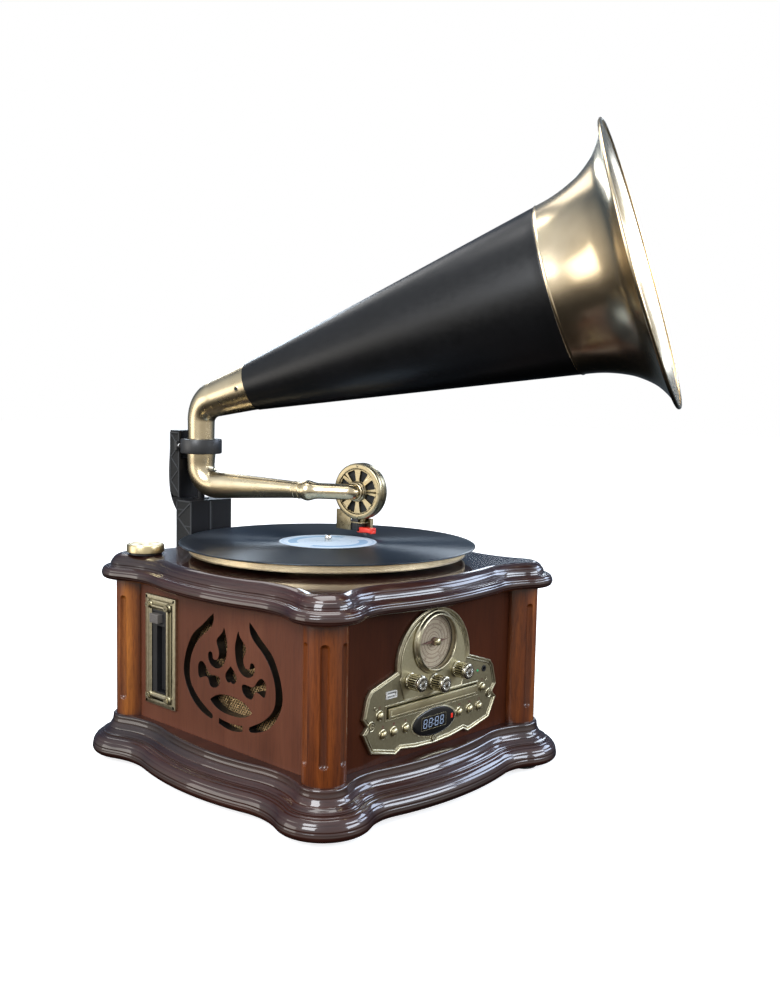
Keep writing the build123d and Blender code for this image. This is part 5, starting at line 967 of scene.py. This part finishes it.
tint = nt.nodes.new("ShaderNodeValToRGB"); nt.links.new(side.outputs["Result"], tint.inputs["Fac"]); tint.color_ramp.elements[0].color = (1, 1, 1, 1); tint.color_ramp.elements[1].color = (0.10, 0.145, 0.215, 1)
mul = nt.nodes.new("ShaderNodeVectorMath"); mul.operation = "MULTIPLY"; nt.links.new(rp.outputs["Color"], mul.inputs[0]); nt.links.new(tint.outputs["Color"], mul.inputs[1])
nt.links.new(mul.outputs["Vector"], bg.inputs["Color"]); bg.inputs["Strength"].default_value = 0.85
bg2.inputs["Color"].default_value = (1, 1, 1, 1); bg2.inputs["Strength"].default_value = 1.0
nt.links.new(lp.outputs["Is Camera Ray"], mx.inputs[0]); nt.links.new(bg.outputs[0], mx.inputs[1]); nt.links.new(bg2.outputs[0], mx.inputs[2]); nt.links.new(mx.outputs[0], out.inputs["Surface"])
def area_light(name, loc, target, sx, sy, power, col=(1, 1, 1)):
    l = bpy.data.lights.new(name, "AREA"); l.shape = "RECTANGLE"; l.size = sx; l.size_y = sy; l.energy = power; l.color = col
    o = bpy.data.objects.new(name, l); bpy.context.scene.collection.objects.link(o)
    d = Vector(target)-Vector(loc); o.location = loc; o.rotation_euler = d.to_track_quat("-Z", "Y").to_euler(); return o
area_light("key", (-1.9, -0.5, 1.35), (0, 0, 0.2), 1.1, 1.3, 46, (0.93, 0.96, 1.0))
area_light("front_fill", (1.1, -2.2, 0.95), (0, 0, 0.2), 1.5, 0.7, 34, (0.80, 0.88, 1.0))
area_light("top", (0.1, 0.2, 2.3), (0, 0, 0.2), 1.6, 1.6, 34, (1.0, 0.99, 0.97))
area_light("back_rim", (0.7, 2.0, 2.0), (0.05, 0, 0.35), 0.9, 0.9, 5, (1.0, 0.98, 0.95))
area_light("left_card", (-2.3, 1.25, 0.36), (0, 0, 0.3), 1.5, 1.1, 12, (1.0, 0.95, 0.88))
area_light("disc_glint_left", (1.02, 1.78, 1.02), (0, 0, 0.22), 0.42, 0.5, 5, (0.76, 0.88, 1.0))
area_light("disc_glint_right", (1.86, 0.92, 1.02), (0, 0, 0.22), 0.42, 0.5, 5, (0.80, 0.90, 1.0))
area_light("side_window", (2.0, -0.95, 1.15), (0, -0.1, 0.1), 1.3, 0.7, 22, (0.66, 0.78, 1.0))
cam = bpy.data.cameras.new("camera"); co = bpy.data.objects.new("camera", cam); bpy.context.scene.collection.objects.link(co)
yaw, pitch, roll = 0.7593108, 0.0967291, 0.0202300
F = Vector((cos(yaw)*cos(pitch), sin(yaw)*cos(pitch), -sin(pitch))); R = Vector((sin(yaw), -cos(yaw), 0)); U = R.cross(F)
R2 = R*cos(roll)+U*sin(roll); U2 = U*cos(roll)-R*sin(roll)
co.matrix_world = Matrix(((R2.x, U2.x, -F.x, -0.76727), (R2.y, U2.y, -F.y, -0.81423), (R2.z, U2.z, -F.z, 0.38209), (0, 0, 0, 1)))
cam.sensor_fit = "VERTICAL"; cam.sensor_height = 36.0; cam.lens = 36.0*1104.562/991.0; cam.clip_start = 0.01
bpy.context.scene.camera = co
bpy.context.scene.view_settings.view_transform = "Standard"
